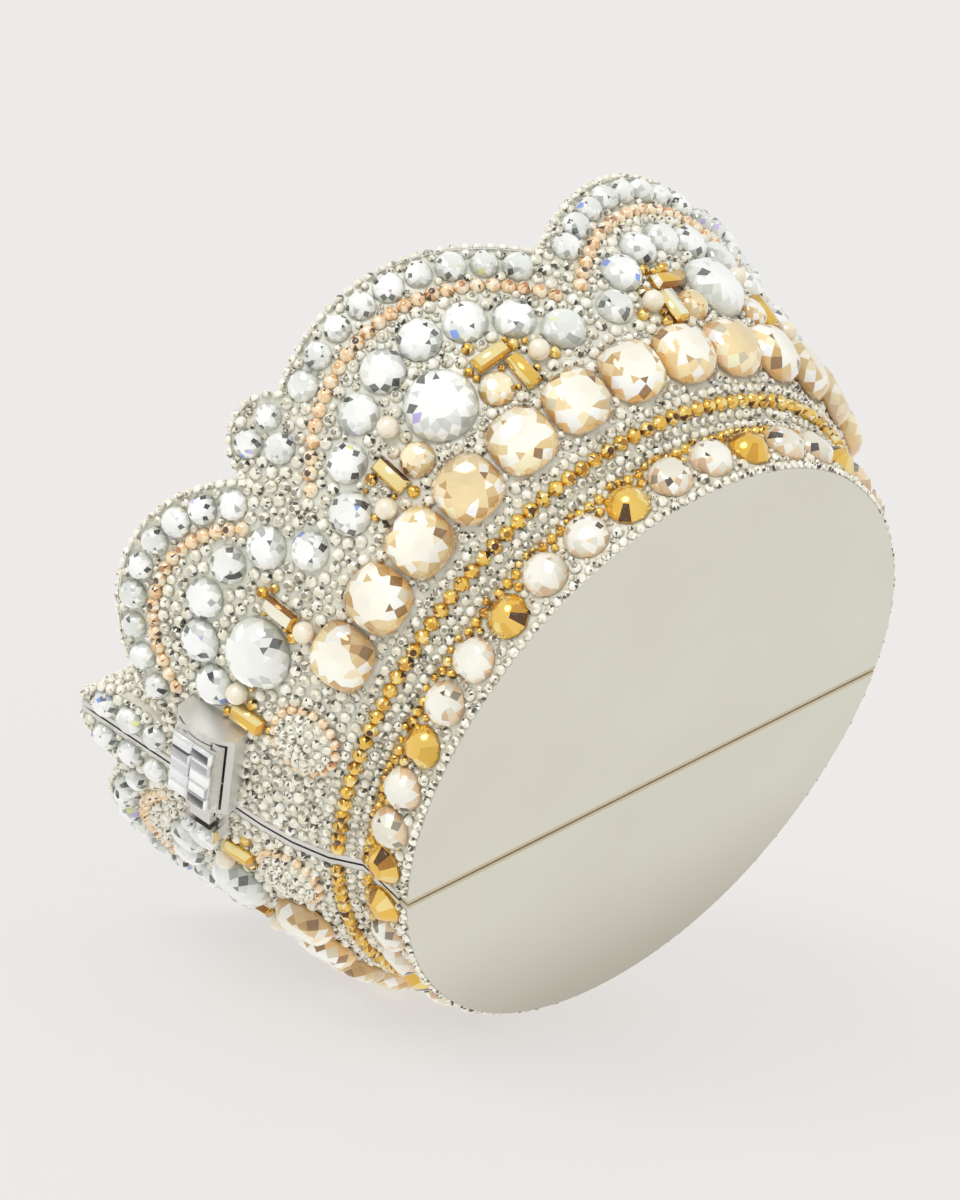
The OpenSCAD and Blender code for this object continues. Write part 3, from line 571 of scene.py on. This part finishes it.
# Gold baguettes. Small step-cut bars of gold glass over foil stand upright or level beside each large round. Each
# has four upright sides, four slopes and a long table, and is glued to the wall.
def step_cut(bevel_long, bevel_wide, shoulder=0.45):
    """A bar's corners, triangles and facets, as cut_stone gives them: two rectangles of unit half-sides, at the
    bottom and at the shoulder, and a table that is smaller by the bevels. All are shares."""
    square = np.array([[-1.0, -1.0], [1.0, -1.0], [1.0, 1.0], [-1.0, 1.0]])
    inner = square * [1 - bevel_long, 1 - bevel_wide]
    levels = ((square, 0.0), (square, shoulder), (inner, 1.0))
    corners = np.concatenate([np.c_[outline, np.full(4, height)] for outline, height in levels])
    i = np.arange(4)
    j = (i + 1) % 4
    faces, facets = [], []
    for k in (0, 1):
        here, there = 4 * k, 4 * k + 4
        faces += [np.stack([here + i, here + j, there + j], 1), np.stack([here + i, there + j, there + i], 1)]
        facets += [4 * k + i, 4 * k + i]
    faces += [np.array([[0, 2, 1], [0, 3, 2], [8, 9, 10], [8, 10, 11]])]
    facets += [np.array([8, 8, 9, 9])]
    return corners, np.concatenate(faces), np.concatenate(facets)


def upright(name):
    """Which bars of a CAD node stand upright: those whose box is higher than the middle of a bar's two sides."""
    low, high = boxes_of(name)
    return (high - low)[:, 2] > (bar_long + bar_wide) / 2


bar_long, bar_wide, bar_h = 7.4, 3.4, 2.4
bar_cut = step_cut(0.16, 0.36)
# Painted highlights and shade: near-white tables and dark brown bevels stand for the light and dark that the gold
# glass reflects.
baguette_shades = [
    (20, 252, 232, 160), (20, 240, 196, 80), (10, 255, 250, 224), (12, 218, 160, 48), (14, 150, 94, 20),
    (12, 90, 50, 12),
]
for side in ("front", "back"):
    node = f"gold_baguettes_{side}"
    spots = wall(*places_of(node), seated)
    piece = set_stones(
        f"gold_bars_{side}", f"{side}_half", gold_foil, bar_cut, spots, bar_wide, bar_h, baguette_shades, seed=17,
        turn=np.where(upright(node), math.pi / 2, 0.0), long=bar_long / bar_wide, tables=3,
    )
    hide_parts(node)

# Pearls. Glass pearls with a soft creamy lustre, glued in the gaps between the bars and the big stones. Each is a
# ball cut off flat where it sits: rings at even angles over a sphere, from the cut to just beside the top.
pearl_d, pearl_rise, top_hole = 4.2, 0.42, 0.12
levels = np.linspace(-math.asin(2 * pearl_rise), math.pi / 2 - top_hole, 9)
pearl_cut = cut_stone(18, np.cos(levels), np.sin(levels) / 2 + pearl_rise)
lustre = Finish("pearl_lustre", Metallic=0.12, Coat_Weight=1.0, Coat_Roughness=0.04, Coat_IOR=1.7)
swirl = lustre.noise(420.0, 3.0)
lustre.give(
    Base_Color=lustre.mix(swirl.above(0.5, 0.5), rgb(251, 243, 224), rgb(240, 226, 198)),
    Roughness=0.2 + swirl * 0.14,
    height=swirl * 0.02,
)
for side in ("front", "back"):
    node = f"pearls_{side}"
    piece = set_stones(
        f"pearl_drops_{side}", f"{side}_half", lustre, pearl_cut, wall(*places_of(node), seated), pearl_d, pearl_d,
        clear_shades, seed=18,
    )
    piece.data.shade_smooth()
    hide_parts(node)

# Curled motifs. Four low domes of resin stand near the seam's ends, egg-shaped towards the clasp or hinge. Each is
# edged with leaning rose gold beads and paved inside with rings of small stones, pressed into the resin.
dome_r, dome_h, dome_levels = 6.0, 2.4, np.linspace(math.pi / 2, 0.06, 9)
ring_beads, ring_out, ring_lean, ring_bead_d, ring_bead_h = 18, 0.25, 0.35, 2.1, 1.35
seed_d, seed_h, seed_sunk, seed_rings = 1.96, 0.85, 0.08, ((0.0, 1), (0.30, 6), (0.59, 11), (0.85, 16))


def dome_edge(angle):
    """The dome's outline: a circle drawn out a little on one side, by the cosine of the angle and of its double."""
    return dome_r * (1 + 0.08 * np.cos(angle) - 0.05 * np.cos(2 * angle))


def on_spot(spot, x, y, lift, lean_x, lean_y):
    """Places x along and y up from one spot on the wall, lifted off it, with directions leaned by two slopes."""
    place, along, up, out = spot
    at = place + x[:, None] * along + y[:, None] * up + lift[:, None] * out
    normal = out + lean_x[:, None] * along + lean_y[:, None] * up
    normal /= np.linalg.norm(normal, axis=1)[:, None]
    first = along - normal * (normal @ along)[:, None]
    first /= np.linalg.norm(first, axis=1)[:, None]
    return at, first, np.cross(normal, first), normal


paved = facet_finish("pave_crystal", Roughness=0.06, Metallic=0.1, IOR=1.6, Coat_Weight=1.0)
# Painted reflections: white facets and small dark specks stand for what the cut glass reflects.
pave_shades = [
    (38, 255, 252, 240), (26, 244, 239, 220), (12, 230, 223, 198), (6, 206, 198, 174), (5, 152, 145, 128),
    (7, 84, 80, 74), (5, 42, 40, 38),
]
pave_cut = cut_stone(7, (1.0, 0.94, 0.5), (0.0, 0.4, 1.0))
for side in ("front", "back"):
    node = f"motif_pads_{side}"
    domes, beads, seeds = [], [], []
    corners, faces, _ = cut_stone(36, np.sin(dome_levels), np.cos(dome_levels))
    for phi, z in zip(*places_of(node)):
        spot = [v.reshape(3) for v in wall(phi, z, seated)]
        angle = np.arctan2(corners[:, 1], corners[:, 0])
        x, y = corners[:, 0] * dome_edge(angle), corners[:, 1] * dome_edge(angle)
        domes.append(on_spot(spot, x, y, corners[:, 2] * dome_h, 0 * x, 0 * x)[0])
        angle = np.linspace(0, 2 * math.pi, ring_beads + 1)[:-1]
        reach = dome_edge(angle) + ring_out
        x, y = np.cos(angle) * reach, np.sin(angle) * reach
        beads.append(on_spot(spot, x, y, 0 * x, np.cos(angle) * ring_lean, np.sin(angle) * ring_lean))
        angle = np.concatenate([(np.arange(n) + 0.5 * (n % 2)) * 2 * math.pi / n for _, n in seed_rings])
        share = np.concatenate([np.full(n, ring) for ring, n in seed_rings])
        x, y = np.cos(angle) * share * dome_edge(angle), np.sin(angle) * share * dome_edge(angle)
        slope = share / np.sqrt(1 - share ** 2) * dome_h / dome_r
        lift = np.sqrt(1 - share ** 2) * dome_h - seed_sunk
        seeds.append(on_spot(spot, x, y, lift, np.cos(angle) * slope, np.sin(angle) * slope))
    count = len(domes)
    together = (faces[None] + (np.arange(count) * len(corners))[:, None, None]).reshape(-1, 3)
    piece = shaped(f"motif_domes_{side}", f"{side}_half", glued_wall, np.concatenate(domes), together)
    piece.data.shade_smooth()
    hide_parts(node)
    for name, finish, cut, spots, across, high, shades, slot in (
        ("motif_beads", rose_foil, bead_cut, beads, ring_bead_d, ring_bead_h, rose_shades, "rose_metal"),
        ("motif_pave", paved, pave_cut, seeds, seed_d, seed_h, pave_shades, "pave_crystal"),
    ):
        spots = [np.concatenate(v) for v in zip(*spots)]
        piece = set_stones(
            f"{name}_{side}", f"{side}_half", finish, cut, spots, across, high, shades, seed=19, tables=3,
        )

# Clasp stones. Step-cut bars of clear crystal are set in two rows across the push button, with painted mirror-bright
# reflections in their facets, and two small rounds on the catch beyond the seam. All are glued into their metal
# settings.
clasp_tilt = math.radians(14.0)
clasp_out = np.array([-math.cos(clasp_tilt), 0.0, -math.sin(clasp_tilt)])
clasp_up = np.array([-math.sin(clasp_tilt), 0.0, math.cos(clasp_tilt)])
clasp_along = np.array([0.0, -1.0, 0.0])
# Painted reflections: the bars' white, grey and near-black tables stand for the mirror-bright reflections of the cut
# glass.
bar_shades = [
    (30, 254, 254, 254), (24, 238, 240, 240), (12, 214, 217, 217), (8, 252, 252, 252), (6, 52, 53, 56),
    (8, 168, 171, 172),
]


def on_clasp(name, half_thick, *ups):
    """Each solid's middle, moved down to its back face and up by each of some heights, with the clasp's own
    directions."""
    low, high = boxes_of(name)
    middle = (low + high) / 2 - clasp_out * half_thick
    middle = np.concatenate([middle + clasp_up * rise for rise in ups])
    return [middle] + [np.repeat(v[None], len(middle), 0) for v in (clasp_along, clasp_up, clasp_out)]


solid_thick, solid_half, bar_gap, bar_rise = 0.85, 0.42, 0.1, 1.0
low, high = boxes_of("clasp_set_stones")
bar_across = float((high - low)[:, 1].mean())
bar_up = float((high - low)[:, 2].mean() - solid_thick * math.sin(clasp_tilt)) / math.cos(clasp_tilt) / 2
piece = set_stones(
    "clasp_bars", "button", crystal, step_cut(0.16, 0.22),
    on_clasp("clasp_set_stones", solid_half, bar_up / 2, -bar_up / 2), bar_across - bar_gap, bar_rise, bar_shades,
    seed=21, turn=math.pi / 2, long=(bar_up - bar_gap) / (bar_across - bar_gap), tables=6,
)
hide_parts("clasp_set_stones")
catch_half, catch_d, catch_rise = 0.55, 3.2, 1.2
piece = set_stones(
    "catch_rounds", "back_half", crystal, brilliant, on_clasp("catch_stones", catch_half, 0.0), catch_d, catch_rise,
    clear_shades, seed=22, rim=(214, 217, 212), joined=0.5,
)
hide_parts("catch_stones")

# Button spring. A small coil of drawn spring steel wire stands loose on the case's floor and lifts the button. Its
# line is a helix: a circle whose points rise evenly, and its skin is a ring round each point of the line, in the
# plane of the circle's radius and the coil's axis.
wire_r, coil_turns, coil_steps, wire_sides, push_travel = 0.16, 4, 24, 8, 1.0
low, high = (v[0] for v in boxes_of("button_spring"))
coil_r = (high - low)[1] / 2
coil_long = ((high - low)[0] - 2 * coil_r * math.sin(clasp_tilt)) / math.cos(clasp_tilt)
coil_foot = (low + high) / 2 - clasp_out * coil_long / 2
turn = np.linspace(0, 2 * math.pi * coil_turns, coil_turns * coil_steps + 1)
around = np.cos(turn)[:, None] * clasp_along + np.sin(turn)[:, None] * clasp_up
line = coil_foot + around * (coil_r - wire_r)
line = line + np.linspace(wire_r, coil_long - wire_r, len(turn))[:, None] * clasp_out
side_turn = np.linspace(0, 2 * math.pi, wire_sides, endpoint=False)
wire = line[:, None] + wire_r * (
    np.cos(side_turn)[None, :, None] * around[:, None] + np.sin(side_turn)[None, :, None] * clasp_out
)
i, j = (v.ravel() for v in np.meshgrid(np.arange(len(turn) - 1), np.arange(wire_sides), indexing="ij"))
here, beside = i * wire_sides + j, i * wire_sides + (j + 1) % wire_sides
skin = [np.stack([here, beside, beside + wire_sides], 1), np.stack([here, beside + wire_sides, here + wire_sides], 1)]
j = np.arange(1, wire_sides - 1)
last = (len(turn) - 1) * wire_sides
skin += [np.stack([0 * j, j + 1, j], 1), np.stack([0 * j + last, last + j, last + j + 1], 1)]
spring_wire = Finish("spring_wire", Metallic=0.9)
drawn = spring_wire.noise(900.0, 3.0)
spring_wire.give(
    Base_Color=spring_wire.mix(drawn, rgb(176, 177, 178), rgb(206, 207, 207)),
    Roughness=0.22 + drawn * 0.16,
    height=drawn * 0.004,
)
piece = shaped("button_coil", "front_half", spring_wire, wire.reshape(-1, 3), np.concatenate(skin))
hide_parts("button_spring")
tuple(coil_foot * mm)
(coil_long - push_travel) / coil_long
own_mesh(piece)


# Pave. Thousands of small clear stones, glued one by one, fill the wall between the big ones up to the crown's
# outline, in rows that follow the edges. Tiny gold ones lie over the base band and by the bars and pearls.
def lobes(side):
    """The direction, height and radius of each lobe and small knob of one side, 1 in front and -1 behind. Each is a
    level round beam from its plan arc's centre, and each angle is counted from both ends of the X axis."""
    small, broad, knob = (19, 62, 41) if side > 0 else (24, 64, 44)
    sizes = ((small, 72.0, 30.0), (broad, 67.5, 48.0), (knob, 67.0, 8.5))
    return [(end, h, r) for a, h, r in sizes for end in (side * (a - 180), -side * a)]


valley, knob_top, knob_r = 47.0, 75.0, 9.5


def crown_height(x, y):
    """The crown's height over a point of the plan: the highest of the valley, the seam knobs and each beam, which
    is a half circle across its direction."""
    top = np.full(x.shape, valley)
    for side in (1, -1):
        here = np.full(x.shape, valley)
        for phi, h, r in lobes(side):
            centre, _, ray = plan(phi)
            dx, dy = x - centre[0], y - centre[1]
            across, ahead = dx * ray[1] - dy * ray[0], dx * ray[0] + dy * ray[1]
            inside = (np.abs(across) < r) & (ahead > 0)
            bow = np.sqrt(np.maximum(r ** 2 - across ** 2, 0))
            here = np.maximum(here, np.where(inside, h - r + bow, 0))
        top = np.where(side * (seam_y - y) >= 0, here, top)
    bow = np.sqrt(np.maximum(knob_r ** 2 - (y - seam_y) ** 2, 0))
    return np.maximum(top, np.where(np.abs(y - seam_y) < knob_r, knob_top - knob_r + bow, 0))


def crown_line(phi, inward):
    """The crown's edge at each direction, moved in from the wall's face: the height is found by repeating, as the
    leaning wall meets the beams."""
    centre, radius, ray = plan(phi)
    z = np.full(np.shape(phi), 60.0)
    for _ in range(10):
        flat = centre + (radius + np.interp(z, wall_heights, wall_outs) - inward)[:, None] * ray
        z = crown_height(flat[:, 0], flat[:, 1])
    return np.c_[flat, z]


# Places come from a map of clear distances over the unrolled wall. Stones of each size go where they just fit
# beside what is there, the map is brought up to date, and so on until the wall is full. The map starts with the
# distances to the seam, the base and the crown's outline, which is taken cell by cell as upright lines.
seam_half, base_gap, map_pitch, map_out, edge_cells = 1.65, 0.05, 0.3, 10.8, 14
fine = np.linspace(-180, 180, 7201)
arc = np.r_[0, np.cumsum(np.radians(0.05) * (plan((fine[1:] + fine[:-1]) / 2)[1] + map_out))]
columns = np.arange(0, arc[-1], map_pitch)
map_phi = np.interp(columns, arc, fine)
map_z = np.arange(0, 76, map_pitch)
map_point = wall(map_phi[:, None], map_z[None])[0]
map_radius, outs = plan(map_phi)[1][:, None], np.interp(map_z, wall_heights, wall_outs)
map_scale = (map_radius + outs) / (map_radius + map_out)
map_rise = np.sqrt(1 + np.gradient(outs, map_z) ** 2)
edge_z = crown_line(map_phi, 0.0)[:, 2]
clear = np.minimum(np.abs(map_point[..., 1] - seam_y) - seam_half, (map_z - base_gap)[None] * map_rise)
for k in range(-edge_cells, edge_cells + 1):
    here, after = np.roll(edge_z, -k)[:, None], np.roll(edge_z, -k - 1)[:, None]
    level = np.clip(map_z[None], np.minimum(here, after), np.maximum(here, after))
    clear = np.minimum(clear, np.hypot(k * map_pitch * map_scale, (map_z[None] - level) * map_rise))
clear[map_z[None] >= edge_z[:, None]] = -1

# The clasp and hinge keep their boxes clear, on their own side. A fitting that leans touches the wall only some way
# up its box.
fitting_gap, other_side = 0.1, 99.0
for name, lean in (("clasp_case", 1.7), ("catch_plate", 1.0), ("hinge_leaf_front", 0.4), ("hinge_leaf_back", 0.4)):
    low, high = (np.array(v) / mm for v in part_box(name))
    dy = np.maximum(low[1] - map_point[..., 1], map_point[..., 1] - high[1])
    dz = np.maximum(low[2] + lean - map_z, map_z - high[2])[None] * map_rise
    gap = np.where((dy < 0) & (dz < 0), -1.0, np.hypot(np.maximum(dy, 0), np.maximum(dz, 0)))
    far = map_point[..., 0] * np.sign(low[0]) < 0
    clear = np.minimum(clear, np.where(far, other_side, gap - fitting_gap))


def claim(phi, z, half_long, half_wide=None, past=2.3):
    """Takes stones off the map: it keeps the distance to each, over the wall around it and a little way past it.
    With one size that is the distance to a circle, and with two that to a bar."""
    round_stone = half_wide is None
    phi, z, half_long, half_wide = np.broadcast_arrays(phi, z, half_long, half_long if round_stone else half_wide)
    reach = int(math.ceil((max(half_long.max(), half_wide.max()) + past) / map_pitch))
    steps = np.arange(-reach, reach + 1)
    at = np.interp(phi, fine, arc)
    i = np.round(at / map_pitch).astype(int)[:, None, None] + steps[None, :, None]
    j = np.round(z / map_pitch).astype(int)[:, None, None] + steps[None, None, :]
    scale = (plan(phi)[1] + np.interp(z, wall_heights, wall_outs)) / (plan(phi)[1] + map_out)
    rise = np.interp(z, map_z, map_rise)
    dx = np.abs(i * map_pitch - at[:, None, None]) * scale[:, None, None]
    dz = np.abs(j * map_pitch - z[:, None, None]) * rise[:, None, None]
    long, wide = half_long[:, None, None], half_wide[:, None, None]
    if round_stone:
        gap = np.hypot(dx, dz) - long
    else:
        gap = np.hypot(np.maximum(dx - long, 0), np.maximum(dz - wide, 0))
        gap = np.where((dx < long) & (dz < wide), -1.0, gap)
    j = np.broadcast_to(j, gap.shape)
    i = np.broadcast_to(i % len(columns), gap.shape)
    seen = (j >= 0) & (j < len(map_z))
    np.minimum.at(clear, (i[seen], j[seen]), gap[seen])


def widest(values, reach):
    """The greatest value within reach cells of each cell, along the wall and then up it."""
    for axis in (0, 1):
        best = values.copy()
        for k in range(1, reach + 1):
            np.maximum(best, np.roll(values, k, axis), out=best)
            np.maximum(best, np.roll(values, -k, axis), out=best)
        values = best
    return values


def crowding(taken, reach):
    """The taken share of the square within reach cells of each cell, from running sums along and up the wall.
    Above and below the map counts as taken."""
    wide = np.pad(np.pad(taken.astype(float), ((reach + 1, reach), (0, 0)), "wrap"),
                  ((0, 0), (reach + 1, reach)), constant_values=1.0)
    sums = wide.cumsum(0).cumsum(1)
    span = 2 * reach + 1
    square = sums[span:, span:] - sums[:-span, span:] - sums[span:, :-span] + sums[:-span, :-span]
    return square / span ** 2


# The set stones are taken off first, a cushion as a circle and a square. Then come level rows by the edges: each
# is its height, its stones' radius, and how far they may run in under the stones beside them.
row_phi, row_z, row_r = [], [], []
cushion_square = 5.0
for side, sign in (("front", 1), ("back", -1)):
    for kind, radius in (
        ("gold_band_stones", 4.3), ("clear_band_stones", 4.3), ("gold_beads", 1.45), ("rose_beads", 1.35),
        ("large_crystals", 7.0), ("medium_crystals", 4.2), ("edge_crystals", 2.9), ("champagne_stones", 3.45),
        ("pearls", 1.9), ("motif_pads", 7.0), ("champagne_cushions", 6.2),
    ):
        claim(*places_of(f"{kind}_{side}"), radius)
    claim(*places_of(f"champagne_cushions_{side}"), cushion_square, cushion_square)
    stands = upright(f"gold_baguettes_{side}")
    half_long, half_wide = bar_long / 2, bar_wide / 2
    claim(
        *places_of(f"gold_baguettes_{side}"), np.where(stands, half_wide, half_long),
        np.where(stands, half_long, half_wide),
    )
    for level, radius, slack in (
        (1.0, 1.0, 0.35), (10.75, 1.12, 0.75), (12.95, 1.1, 0.35), (18.35, 1.1, 0.35), (20.65, 1.15, 0.35),
    ):
        around = wall(fine, level)[0]
        half = sign * (seam_y - around[:, 1]) > seam_half + radius
        turned = fine if sign > 0 else fine % 360
        order = np.argsort(turned[half])
        run, at = turned[half][order], around[half][order]
        length = np.r_[0, np.cumsum(np.linalg.norm(np.diff(at, axis=0), axis=1))]
        phi = np.interp(np.linspace(0, length[-1], int(length[-1] / (2 * radius)) + 1), length, run)
        phi = (phi + 180) % 360 - 180
        cell = np.round(np.interp(phi, fine, arc) / map_pitch).astype(int) % len(columns)
        phi = phi[clear[cell, int(round(level / map_pitch))] > radius - slack]
        claim(phi, level, radius)
        row_phi.append(phi)
        row_z.append(np.full(len(phi), level))
        row_r.append(np.full(len(phi), radius))

# The rest is filled from the biggest stones down. In each round, a stone goes to every free cell that has more
# round it than the free cells near it have, so that the stones nestle against what is there.
squeeze, beside_by, taken_under, least_scale = 0.06, 0.75, 0.5, 0.83
draw = np.random.default_rng(31)
jitter = draw.uniform(0, 0.004, clear.shape)
for radius, rounds in ((1.3, 90), (1.05, 50), (0.82, 40), (0.62, 30)):
    reach = int(math.ceil((radius + beside_by) / map_pitch))
    for _ in range(rounds):
        free = clear >= radius - squeeze
        if not free.any():
            break
        rank = np.where(free, 1 + crowding(clear < taken_under, reach) + jitter, 0.0)
        chosen = free & (rank == widest(rank, int(math.ceil(2 * radius / (least_scale * map_pitch)))))
        i, j = np.nonzero(chosen)
        claim(map_phi[i], map_z[j], radius)
        row_phi.append(map_phi[i])
        row_z.append(map_z[j])
        row_r.append(np.full(len(i), radius))
row_phi, row_z, row_r = (np.concatenate(v) for v in (row_phi, row_z, row_r))
row_point = wall(row_phi, row_z)[0]
in_front = row_point[:, 1] < seam_y
gold_from, gold_to, by_bars, by_pearls, gold_chance = 8.3, 11.9, 5.6, 3.6, 0.4
golden = (row_z > gold_from) & (row_z < gold_to)
for side in ("front", "back"):
    for kind, near in (("gold_baguettes", by_bars), ("pearls", by_pearls)):
        middle = wall(*places_of(f"{kind}_{side}"))[0]
        apart = np.linalg.norm(row_point[:, None] - middle[None], axis=2).min(1)
        golden |= (apart < near) & (draw.uniform(size=len(row_phi)) < gold_chance)
fuller, uneven, girdle_h = 0.02, 0.05, 0.35
for side, half in (("front", in_front), ("back", ~in_front)):
    for name, finish, shades, slot, chosen, rise in (
        ("pave", paved, pave_shades, "pave_crystal", half & ~golden, 0.5),
        ("gold_seeds", gold_foil, gold_shades, "gold_metal", half & golden, 0.8),
    ):
        radius = row_r[chosen] + fuller
        spots = wall(row_phi[chosen], row_z[chosen], seated)
        leaned = spots[3] + draw.normal(0, uneven, spots[3].shape)
        piece = set_stones(
            f"{name}_{side}", f"{side}_half", finish, pave_cut, (*spots[:3], leaned), 2 * radius,
            girdle_h + rise * radius, shades, seed=32, tables=5,
        )
        if name == "pave":
            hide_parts(f"pave_rows_{side}")

# Crown edge. Rows of small clear stones are glued along the crown's thick edge: one on its outer corner, which they
# round off, three across its top and one on the inner corner. Each row is how far in it runs, its stones' diameter
# and the corner that it leans over.
rim_thick, edge_stone_h, stone_gap, corner_lift, ahead_by = 9.0, 0.9, 0.04, 0.12, 0.6
# The edge stones take the paler painted reflections of the pave, with few dark specks.
edge_shades = pave_shades[:5] + [(2, 96, 98, 95)]
edge_phi = np.linspace(-180, 180, 5761)[:-1]
for side, sign in (("front", 1), ("back", -1)):
    spots = []
    for inward, across, corner in ((0.0, 2.3, 1), (2.3, 2.2, 0), (4.5, 2.2, 0), (6.7, 2.2, 0), (rim_thick, 2.1, -1)):
        line = crown_line(edge_phi, inward)
        half = sign * (seam_y - line[:, 1]) > seam_half + across / 2
        start = int(np.nonzero(~half)[0][-1]) if sign > 0 else int(np.nonzero(half & (edge_phi > 0))[0][0]) - 1
        line, half = np.roll(line, -start - 1, 0), np.roll(half, -start - 1)
        line = line[half]
        length = np.r_[0, np.cumsum(np.linalg.norm(np.diff(line, axis=0), axis=1))]
        count = int(length[-1] / (across + stone_gap))
        at = np.linspace(0, length[-1], count + 1)
        before, place, after = (
            np.stack([np.interp(at + step, length, line[:, k]) for k in range(3)], 1)
            for step in (-ahead_by, 0.0, ahead_by)
        )
        ahead = after - before
        ahead /= np.linalg.norm(ahead, axis=1)[:, None]
        outward = np.c_[place[:, :2], 0 * at]
        outward -= ahead * (outward * ahead).sum(1)[:, None]
        outward /= np.linalg.norm(outward, axis=1)[:, None]
        upward = np.cross(outward, ahead)
        normal = upward + corner * outward
        normal /= np.linalg.norm(normal, axis=1)[:, None]
        lifted = place + normal * (corner_lift if corner else seated)
        spots.append((lifted, ahead, np.cross(normal, ahead), normal, np.full(count + 1, across)))
    *spots, across = [np.concatenate(v) for v in zip(*spots)]
    piece = set_stones(
        f"edge_pave_{side}", f"{side}_half", paved, pave_cut, spots, across, edge_stone_h, edge_shades, seed=33,
    )

# Stage. The floor is the studio's pale table, which the bag's back wall lies on, so it is tilted in this frame: the
# wall touches it at one direction and height. It glows a little, stops no light, and isn't seen from its back.
touch_phi, touch_z, touch_off = 116.8, 34.0, 4.9
floor_lean, floor_reach = math.radians(16.4), 4.0
floor_turn = math.radians(touch_phi)
floor_down = np.array([
    math.cos(floor_turn) * math.cos(floor_lean), math.sin(floor_turn) * math.cos(floor_lean), -math.sin(floor_lean)
])
floor_mid = wall(touch_phi, touch_z, touch_off)[0] * mm
floor_side = np.cross(floor_down, [0.0, 0.0, 1.0])
floor_side /= np.linalg.norm(floor_side)
floor_long = np.cross(floor_side, floor_down)
ends = np.array([(-1, -1), (1, -1), (1, 1), (-1, 1)]) * floor_reach
floor_mesh = bpy.data.meshes.new("floor")
floor_mesh.from_pydata((floor_mid + ends @ np.array([floor_side, floor_long])).tolist(), [], [(0, 1, 2, 3)])
floor = bpy.data.objects.new("floor", floor_mesh)
bpy.context.scene.collection.objects.link(floor)
paper_white, own_light = rgb(235, 233, 231), 0.7
table = Finish("pale_table", Base_Color=rgb(238, 235, 234))
table.give(Roughness=0.85 + table.noise(9.0, 3.0) * 0.1)
lit = table.node(
    "MixShader", "Shader", Fac=own_light, Shader=Socket(table, table.shader.outputs["BSDF"]),
    Shader_001=table.node("Emission", "Emission", Color=paper_white),
)
passing = table.node("NewGeometry", "Backfacing")
for ray in ("Is Shadow Ray", "Is Diffuse Ray"):
    passing = passing | table.node("LightPath", ray)
shown = table.node("MixShader", "Shader", Fac=passing, Shader=lit, Shader_001=table.node("BsdfTransparent", "BSDF"))
table.tree.links.new(shown.link, table.tree.nodes["Material Output"].inputs["Surface"])
floor_mesh.materials.append(table.material)
floor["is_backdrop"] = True

# Studio. Plain even light comes from all round, and the camera sees the table's own tone behind the object.
world = bpy.data.worlds.new("studio")
world.use_nodes = True
studio = Nodes(world.node_tree)
either = studio.node(
    "MixShader", "Shader", Fac=studio.node("LightPath", "Is Camera Ray"),
    Shader=studio.node("Background", "Background", Color=(1.0, 1.0, 0.99, 1.0), Strength=0.83),
    Shader_001=studio.node("Background", "Background", Color=paper_white, Strength=1.0),
)
studio.tree.links.new(either.link, studio.tree.nodes["World Output"].inputs["Surface"])
bpy.context.scene.world = world
bpy.context.scene.view_settings.view_transform = "Standard"

# Key light. One big soft lamp hangs over the table, towards the picture's top left, and shines along the direction
# that is worked out here from the picture's own three.
lamp = bpy.data.lights.new("key_light", "SUN")
lamp.energy = 0.9
lamp.angle = math.radians(28.0)
key_light = bpy.data.objects.new("key_light", lamp)
from_lamp = picture_depth * 0.62 + picture_down * 0.66 + picture_right * 0.22
lamp_side = np.cross(from_lamp, [0.0, 0.0, 1.0])
lamp_axes = np.array([lamp_side, np.cross(lamp_side, -from_lamp), -from_lamp]).T
key_light.matrix_world = Matrix(lamp_axes.tolist()).to_4x4().normalized()
bpy.context.scene.collection.objects.link(key_light)

low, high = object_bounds()
